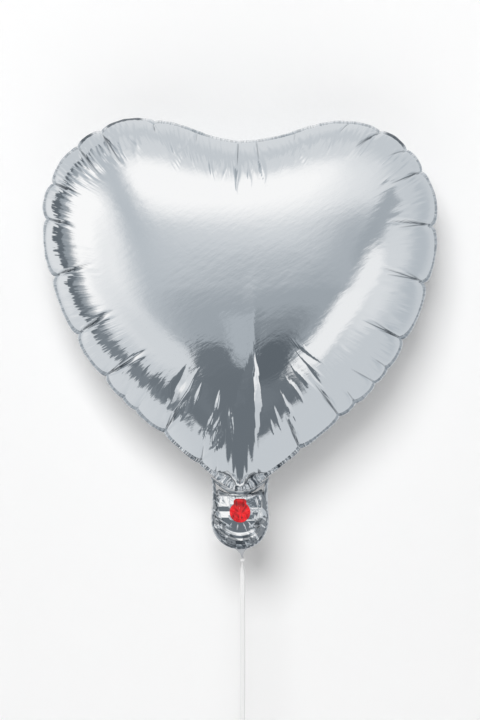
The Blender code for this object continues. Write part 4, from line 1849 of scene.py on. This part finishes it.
class NodeBoard:
    """A small helper that adds nodes to a tree and wires them."""

    def __init__(self, tree: bpy.types.NodeTree) -> None:
        """Keeps the tree and empties it."""
        self.tree = tree
        tree.nodes.clear()

    def add(self, kind: str, **settings: object) -> bpy.types.Node:
        """Adds a node and sets its properties."""
        node = self.tree.nodes.new(kind)
        for key, value in settings.items():
            setattr(node, key, value)
        return node

    def wire(self, output: Socket, socket: Socket) -> None:
        """Joins an output to an input."""
        self.tree.links.new(output, socket)

    def feed(self, value: object, socket: Socket) -> None:
        """Wires a socket's value in, or sets a number, and leaves None alone."""
        if isinstance(value, Socket):
            self.wire(value, socket)
        elif value is not None:
            socket.default_value = value

    def fill(self, node: bpy.types.Node, values: dict[str, object]) -> bpy.types.Node:
        """Feeds a node's inputs by their names."""
        for name, value in values.items():
            self.feed(value, node.inputs[name])
        return node

    def math(self, operation: str, first: object, second: object = None) -> Socket:
        """A math node on sockets or numbers, and its output."""
        node = self.add("ShaderNodeMath", operation=operation)
        for socket, value in zip(node.inputs, (first, second)):
            self.feed(value, socket)
        return node.outputs[0]

    def vector(self, operation: str, first: object, second: object = None) -> Socket:
        """A vector math node on sockets or vectors, and its vector or value."""
        node = self.add("ShaderNodeVectorMath", operation=operation)
        for socket, value in zip(node.inputs, (first, second)):
            self.feed(value, socket)
        return node.outputs["Value" if operation in ("LENGTH", "DOT_PRODUCT") else "Vector"]

    def scaled(self, vector: Socket, factor: Socket) -> Socket:
        """A vector times a number."""
        node = self.add("ShaderNodeVectorMath", operation="SCALE")
        return self.fill(node, {"Vector": vector, "Scale": factor}).outputs["Vector"]

    def split(self, vector: Socket) -> Sockets:
        """A vector's three parts, by the names X, Y and Z."""
        node = self.add("ShaderNodeSeparateXYZ")
        return self.fill(node, {"Vector": vector}).outputs

    def place(self) -> Socket:
        """The place of each point on its own object."""
        return self.add("ShaderNodeTexCoord").outputs["Object"]

    def ramp(self, value: Socket, low: object, high: object, ends: Pair = (0, 1)) -> Socket:
        """A smooth change between two ends as the value goes from low to high.

        Args:
            value: The value.
            low: Where the change starts, as a socket or a number.
            high: Where it ends.
            ends: What it changes from and to.

        Returns:
            The changed value.
        """
        node = self.add("ShaderNodeMapRange", interpolation_type="SMOOTHSTEP")
        limits = {"Value": value, "From Min": low, "From Max": high}
        return self.fill(node, limits | {"To Min": ends[0], "To Max": ends[1]}).outputs["Result"]

    def edge(self, value: Socket, soft: Socket) -> Socket:
        """A mask that falls from 1 to 0 as the value passes 1, over this softness."""
        low = self.math("SUBTRACT", 1.0, soft)
        return self.ramp(value, low, self.math("ADD", 1.0, soft), (1, 0))

    def mix(self, factor: Socket, under: object, over: object) -> Socket:
        """A colour laid over another one, where the factor is 1."""
        node = self.add("ShaderNodeMix", data_type="RGBA")
        for index, value in ((0, factor), (6, under), (7, over)):
            self.feed(value, node.inputs[index])
        return node.outputs[2]

    def pick(self, factor: Socket, first: bpy.types.Node, second: bpy.types.Node) -> Socket:
        """The first shader where the factor is 0, and the second where it is 1."""
        node = self.add("ShaderNodeMixShader")
        for socket, value in zip(node.inputs, (factor, first.outputs[0], second.outputs[0])):
            self.wire(value, socket)
        return node.outputs[0]


def new_group(
    name: str, inputs: dict[str, str], outputs: dict[str, str]
) -> tuple[NodeBoard, Sockets, Sockets]:
    """An empty shader node group with named sockets.

    Args:
        name: The group's name.
        inputs: Socket type of each input.
        outputs: Socket type of each output.

    Returns:
        The group's board, the sockets that it is given and the sockets that it puts out.
    """
    tree = bpy.data.node_groups.new(name, "ShaderNodeTree")
    for way, sockets in (("INPUT", inputs), ("OUTPUT", outputs)):
        for socket, kind in sockets.items():
            tree.interface.new_socket(name=socket, in_out=way, socket_type="NodeSocket" + kind)
    board = NodeBoard(tree)
    return board, board.add("NodeGroupInput").outputs, board.add("NodeGroupOutput").inputs


def oval_group() -> bpy.types.NodeTree:
    """A node group whose mask is 1 inside a turned oval on the studio's chart."""
    sockets = dict.fromkeys(("Chart", "Centre", "Half Size"), "Vector")
    sockets |= dict.fromkeys(("Turn", "Soft"), "Float")
    board, given, out = new_group("StudioOval", sockets, {"Mask": "Float"})
    away = board.vector("SUBTRACT", given["Chart"], given["Centre"])
    turned = board.add("ShaderNodeVectorRotate", rotation_type="Z_AXIS", invert=True)
    board.fill(turned, {"Vector": away, "Angle": given["Turn"]})
    size = board.vector("LENGTH", board.vector("DIVIDE", turned.outputs[0], given["Half Size"]))
    board.wire(board.edge(size, given["Soft"]), out["Mask"])
    return board.tree


def strip_group() -> bpy.types.NodeTree:
    """A node group whose mask is 1 along a strip with round ends on the studio's chart."""
    sockets = dict.fromkeys(("Chart", "Start", "End"), "Vector")
    sockets |= dict.fromkeys(("Width", "Soft"), "Float")
    board, given, out = new_group("StudioStrip", sockets, {"Mask": "Float"})
    away = board.vector("SUBTRACT", given["Chart"], given["Start"])
    run = board.vector("SUBTRACT", given["End"], given["Start"])
    ahead = board.vector("DOT_PRODUCT", away, run)
    whole = board.vector("DOT_PRODUCT", run, run)
    share = board.fill(board.add("ShaderNodeClamp"), {"Value": board.math("DIVIDE", ahead, whole)})
    nearest = board.scaled(run, share.outputs[0])
    size = board.vector("LENGTH", board.vector("SUBTRACT", away, nearest))
    board.wire(board.edge(board.math("DIVIDE", size, given["Width"]), given["Soft"]), out["Mask"])
    return board.tree


def new_material(name: str) -> tuple[Material, NodeBoard]:
    """An empty material, and the board of its nodes."""
    made = bpy.data.materials.new(name)
    made.use_nodes = True
    return made, NodeBoard(made.node_tree)


@dataclass(frozen=True)
class Lamp:
    """A round light that aims at the middle of the balloon.

    Attributes:
        name: Its name.
        size: Its diameter.
        energy: Its power in watts.
        place: Where it hangs.
    """

    name: str
    size: float
    energy: float
    place: Triple

    def build(self) -> None:
        """Hangs the lamp."""
        data = bpy.data.lights.new(self.name, "AREA")
        data.shape = "DISK"
        data.size = self.size
        data.energy = self.energy
        light = bpy.data.objects.new(self.name, data)
        light.location = self.place
        light.rotation_euler = (-light.location).to_track_quat("-Z", "Y").to_euler()
        light.visible_glossy = False
        light.visible_camera = False
        bpy.context.scene.collection.objects.link(light)


@dataclass
class Studio:
    """The room: what the foil mirrors, the pale backdrop and floor, the lamps and the camera.

    The key lamp at the upper left throws the shadow, and the fill lamp softens it from the
    front. The wall leans, so that its top is the nearer and the shadow widens downwards.
    """

    base_tone: float = 202
    ambient: float = 0.17
    wall_y: float = 0.118
    wall_lean: float = 0.15
    floor_place: Triple = (0, -1.8, -1.2)
    sheet_size: float = 2.0
    # Painted light: the paper's colour rises from the first tone to the second along each sheet's Y,
    # lighter towards the top of the wall.
    paper_range: Pair = (-0.05, 0.17)
    paper_tones: Pair = (0.925, 0.97)
    lens: float = 125.0
    sensor: float = 36.0
    camera_place: Triple = (0.0, -2.5, -0.09)
    lamps: tuple[Lamp, ...] = (
        Lamp("key_light", 1.8, 159.0, (-0.62, -5.0, 1.45)),
        Lamp("fill_light", 0.7, 15.0, (0.1, -3.0, 0.5)),
    )

    def build_world(self) -> None:
        """Sets the world: plain light for matt things, and the studio's chart for mirrors."""
        world = bpy.data.worlds.new("studio_light")
        bpy.context.scene.world = world
        world.use_nodes = True
        board = NodeBoard(world.node_tree)
        chart = self.chart(board)
        groups = {PatchShape.OVAL: oval_group(), PatchShape.STRIP: strip_group()}
        colour = screen_tone(self.base_tone)
        for patch in STUDIO:
            mask = board.add("ShaderNodeGroup", node_tree=groups[patch.shape])
            board.fill(mask, {"Chart": chart, "Soft": patch.soft} | patch.settings())
            cover = board.math("MULTIPLY", mask.outputs["Mask"], patch.amount)
            colour = board.mix(cover, colour, screen_tone(patch.tone))
        mirrored = board.fill(board.add("ShaderNodeBackground"), {"Color": colour})
        plain = board.add("ShaderNodeBackground")
        board.fill(plain, {"Color": (1, 1, 1, 1), "Strength": self.ambient})
        glossy = board.add("ShaderNodeLightPath").outputs["Is Glossy Ray"]
        out = board.add("ShaderNodeOutputWorld")
        board.wire(board.pick(glossy, plain, mirrored), out.inputs["Surface"])

    def chart(self, board: NodeBoard) -> Socket:
        """The chart place of each direction, as degrees right of and above the camera's.

        Args:
            board: The board of the world's nodes.

        Returns:
            The place, as a vector.
        """
        toward = board.split(board.add("ShaderNodeTexCoord").outputs["Generated"])
        angle = board.math("ARCCOSINE", board.math("MULTIPLY", toward["Y"], -1.0))
        across = board.fill(board.add("ShaderNodeCombineXYZ"), {"X": toward["X"], "Y": toward["Z"]})
        aim = board.vector("NORMALIZE", across.outputs[0])
        return board.scaled(aim, board.math("MULTIPLY", angle, 180 / math.pi))

    def paper(self) -> Material:
        """Matt white paper, painted lighter along its own Y towards the wall's top, that is clear from
        behind, so that the back can be seen.
        """
        made, board = new_material("white_paper")
        upper = board.ramp(board.split(board.place())["Y"], *self.paper_range)
        low, high = self.paper_tones
        matt = board.add("ShaderNodeBsdfDiffuse")
        board.fill(matt, {"Color": board.mix(upper, (low, low, low, 1), (high, high, high, 1))})
        clear = board.add("ShaderNodeBsdfTransparent")
        behind = board.add("ShaderNodeNewGeometry").outputs["Backfacing"]
        out = board.add("ShaderNodeOutputMaterial")
        board.wire(board.pick(behind, matt, clear), out.inputs["Surface"])
        return made

    def build_backdrop(self) -> None:
        """The leaning wall behind the balloon and the floor far below it."""
        paper = self.paper()
        upright = (math.pi / 2 + self.wall_lean, 0, 0)
        for name, turn, place in (
            ("backdrop_wall", upright, (0, self.wall_y, 0)),
            ("studio_floor", (0, 0, 0), self.floor_place),
        ):
            bm = bmesh.new()
            bmesh.ops.create_grid(bm, x_segments=1, y_segments=1, size=self.sheet_size)
            mesh = bpy.data.meshes.new(name)
            bm.to_mesh(mesh)
            bm.free()
            mesh.materials.append(paper)
            sheet = bpy.data.objects.new(name, mesh)
            sheet.location = place
            sheet.rotation_euler = turn
            sheet.visible_glossy = False
            bpy.context.scene.collection.objects.link(sheet)

    def build_camera(self) -> None:
        """A level camera in front of the balloon."""
        data = bpy.data.cameras.new("camera")
        data.lens = self.lens
        data.sensor_width = self.sensor
        camera = bpy.data.objects.new("camera", data)
        camera.location = self.camera_place
        camera.rotation_euler = (math.pi / 2, 0, 0)
        bpy.context.scene.collection.objects.link(camera)
        bpy.context.scene.camera = camera

    def build(self) -> None:
        """Sets up the room round the camera."""
        self.build_world()
        self.build_backdrop()
        for lamp in self.lamps:
            lamp.build()
        bpy.context.scene.view_settings.view_transform = "Standard"


def noise_centred(board: NodeBoard, place: Socket, cells: Triple, detail: float) -> Socket:
    """Noise round 0, with this many cells to a metre along each axis.

    Args:
        board: The board that it goes on.
        place: Where it is read.
        cells: How many cells to a metre.
        detail: How many finer layers it has.

    Returns:
        The noise.
    """
    noise = board.add("ShaderNodeTexNoise")
    vector = board.vector("MULTIPLY", place, cells)
    board.fill(noise, {"Scale": 1.0, "Detail": detail, "Vector": vector})
    return board.math("SUBTRACT", noise.outputs[0], 0.5)


def crinkle_group() -> bpy.types.NodeTree:
    """Fine crinkles of a thin film: streaks across its rim and a mottle over all of it."""
    sockets = dict.fromkeys(("Streak", "Mottle", "Fade"), "Float")
    board, given, out = new_group("FilmCrinkle", sockets, {"Height": "Float"})
    laid = board.add("ShaderNodeUVMap", uv_map="film").outputs[0]
    place = board.place()
    streaks = noise_centred(board, laid, (170.0, 22.0, 1.0), 2.0)
    near = board.ramp(board.split(laid)["Y"], 0.0, given["Fade"], (1, 0))
    above_neck = board.ramp(board.split(place)["Z"], -0.15, -0.09, (0.06, 1))
    reach = board.math("MULTIPLY", near, above_neck)
    rim = board.math("MULTIPLY", board.math("MULTIPLY", streaks, reach), given["Streak"])
    slant = board.add("ShaderNodeVectorRotate", rotation_type="Y_AXIS")
    board.fill(slant, {"Vector": place, "Angle": math.radians(32)})
    brushed = noise_centred(board, slant.outputs[0], (60.0, 60.0, 240.0), 3.0)
    clouded = noise_centred(board, place, (110.0, 110.0, 150.0), 5.0)
    mottle = board.math("MULTIPLY", board.math("ADD", brushed, clouded), given["Mottle"])
    board.wire(board.math("ADD", rim, mottle), out["Height"])
    return board.tree


def shaded_shader(board: NodeBoard, colour: Triple, dark: Triple, values: dict[str, object]) -> None:
    """Gives a material a shader whose colour turns darker where the piece's painted shade lies.

    Args:
        board: The board of the material's nodes.
        colour: Its colour in the light.
        dark: Its colour in full painted shade.
        values: What the shader's other sockets are given.
    """
    shade = board.add("ShaderNodeAttribute", attribute_name="shade").outputs["Fac"]
    tint = board.mix(shade, (*colour, 1), (*dark, 1))
    shader = board.fill(board.add("ShaderNodeBsdfPrincipled"), {"Base Color": tint} | values)
    out = board.add("ShaderNodeOutputMaterial")
    board.wire(shader.outputs[0], out.inputs["Surface"])


@dataclass(frozen=True)
class Foil:
    """A metallised film with fine crinkles.

    Attributes:
        name: The material's name.
        colour: Its mirror colour.
        roughness: How blurred its mirror is.
        streak: Height of the streaks along its rim, in metres.
        mottle: Height of its mottle, in metres.
        fade: How far the streaks run in from the rim, in metres.
        dark: Its colour in full painted shade, as along its folds.
    """

    name: str
    colour: Triple
    roughness: float
    streak: float
    mottle: float
    fade: float
    dark: Triple = (0.10, 0.12, 0.14)

    def material(self, crinkle: bpy.types.NodeTree) -> Material:
        """Makes the material.

        Args:
            crinkle: The node group of its crinkles.

        Returns:
            The new material.
        """
        made, board = new_material(self.name)
        creases = board.add("ShaderNodeGroup", node_tree=crinkle)
        board.fill(creases, {"Streak": self.streak, "Mottle": self.mottle, "Fade": self.fade})
        bump = board.add("ShaderNodeBump")
        board.fill(bump, {"Strength": 1.0, "Distance": 1.0, "Height": creases.outputs["Height"]})
        values = {"Metallic": 1.0, "Roughness": self.roughness, "Normal": bump.outputs[0]}
        shaded_shader(board, self.colour, self.dark, values)
        return made


@dataclass(frozen=True)
class Plastic:
    """A plain glossy plastic film or ribbon.

    Attributes:
        name: The material's name.
        colour: Its colour.
        roughness: Its roughness.
        metallic: Its metallic value.
        coat: Weight of its clear coat.
        darkening: The share of its colour that it keeps in full painted shade.
    """

    name: str
    colour: Triple
    roughness: float
    metallic: float = 0.0
    coat: float = 0.0
    darkening: float = 0.25

    def material(self) -> Material:
        """Makes the material."""
        made, board = new_material(self.name)
        values = {"Metallic": self.metallic, "Roughness": self.roughness, "Coat Weight": self.coat}
        shaded_shader(board, self.colour, tuple(self.darkening * c for c in self.colour), values)
        return made


SILVER = Foil("mirror_foil", (0.97, 0.97, 0.97), 0.05, streak=0.0012, mottle=0.0001, fade=0.06)
CRIMPED = Foil("crimped_foil", (0.88, 0.89, 0.90), 0.16, streak=0.0003, mottle=0.00005, fade=0.05)
RED_FILM = Plastic("red_valve_film", (0.98, 0.018, 0.024), roughness=0.07)
GREY_FILM = Plastic("grey_gathered_film", (0.52, 0.53, 0.55), roughness=0.35, metallic=0.4, coat=0.2)
WHITE_RIBBON = Plastic("white_curling_ribbon", (0.84, 0.84, 0.84), roughness=0.35, coat=0.1)


def main() -> None:
    """Builds the balloon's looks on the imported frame."""
    logging.basicConfig(level=logging.INFO, format="%(message)s")
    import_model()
    studio = Studio()
    studio.build_camera()
    crinkle = crinkle_group()
    foil = SILVER.material(crinkle)
    weld = CRIMPED.material(crinkle)
    Ribbon().build(WHITE_RIBBON.material())
    studio.build()
    front = HeartFilm(Side.FRONT, seed=11, columns=1880, rows=52)
    front.build("heart_film_front", Dress("envelope_front", "silver_foil", foil))
    back = HeartFilm(Side.BACK, seed=23, columns=1300, rows=44)
    back.build("heart_film_back", Dress("envelope_back", "silver_foil", foil))
    HeartWeld().build(weld)
    Tab().build(foil, weld)
    Valve().build(RED_FILM.material())
    Tip().build(GREY_FILM.material())


if __name__ == "__main__":
    main()
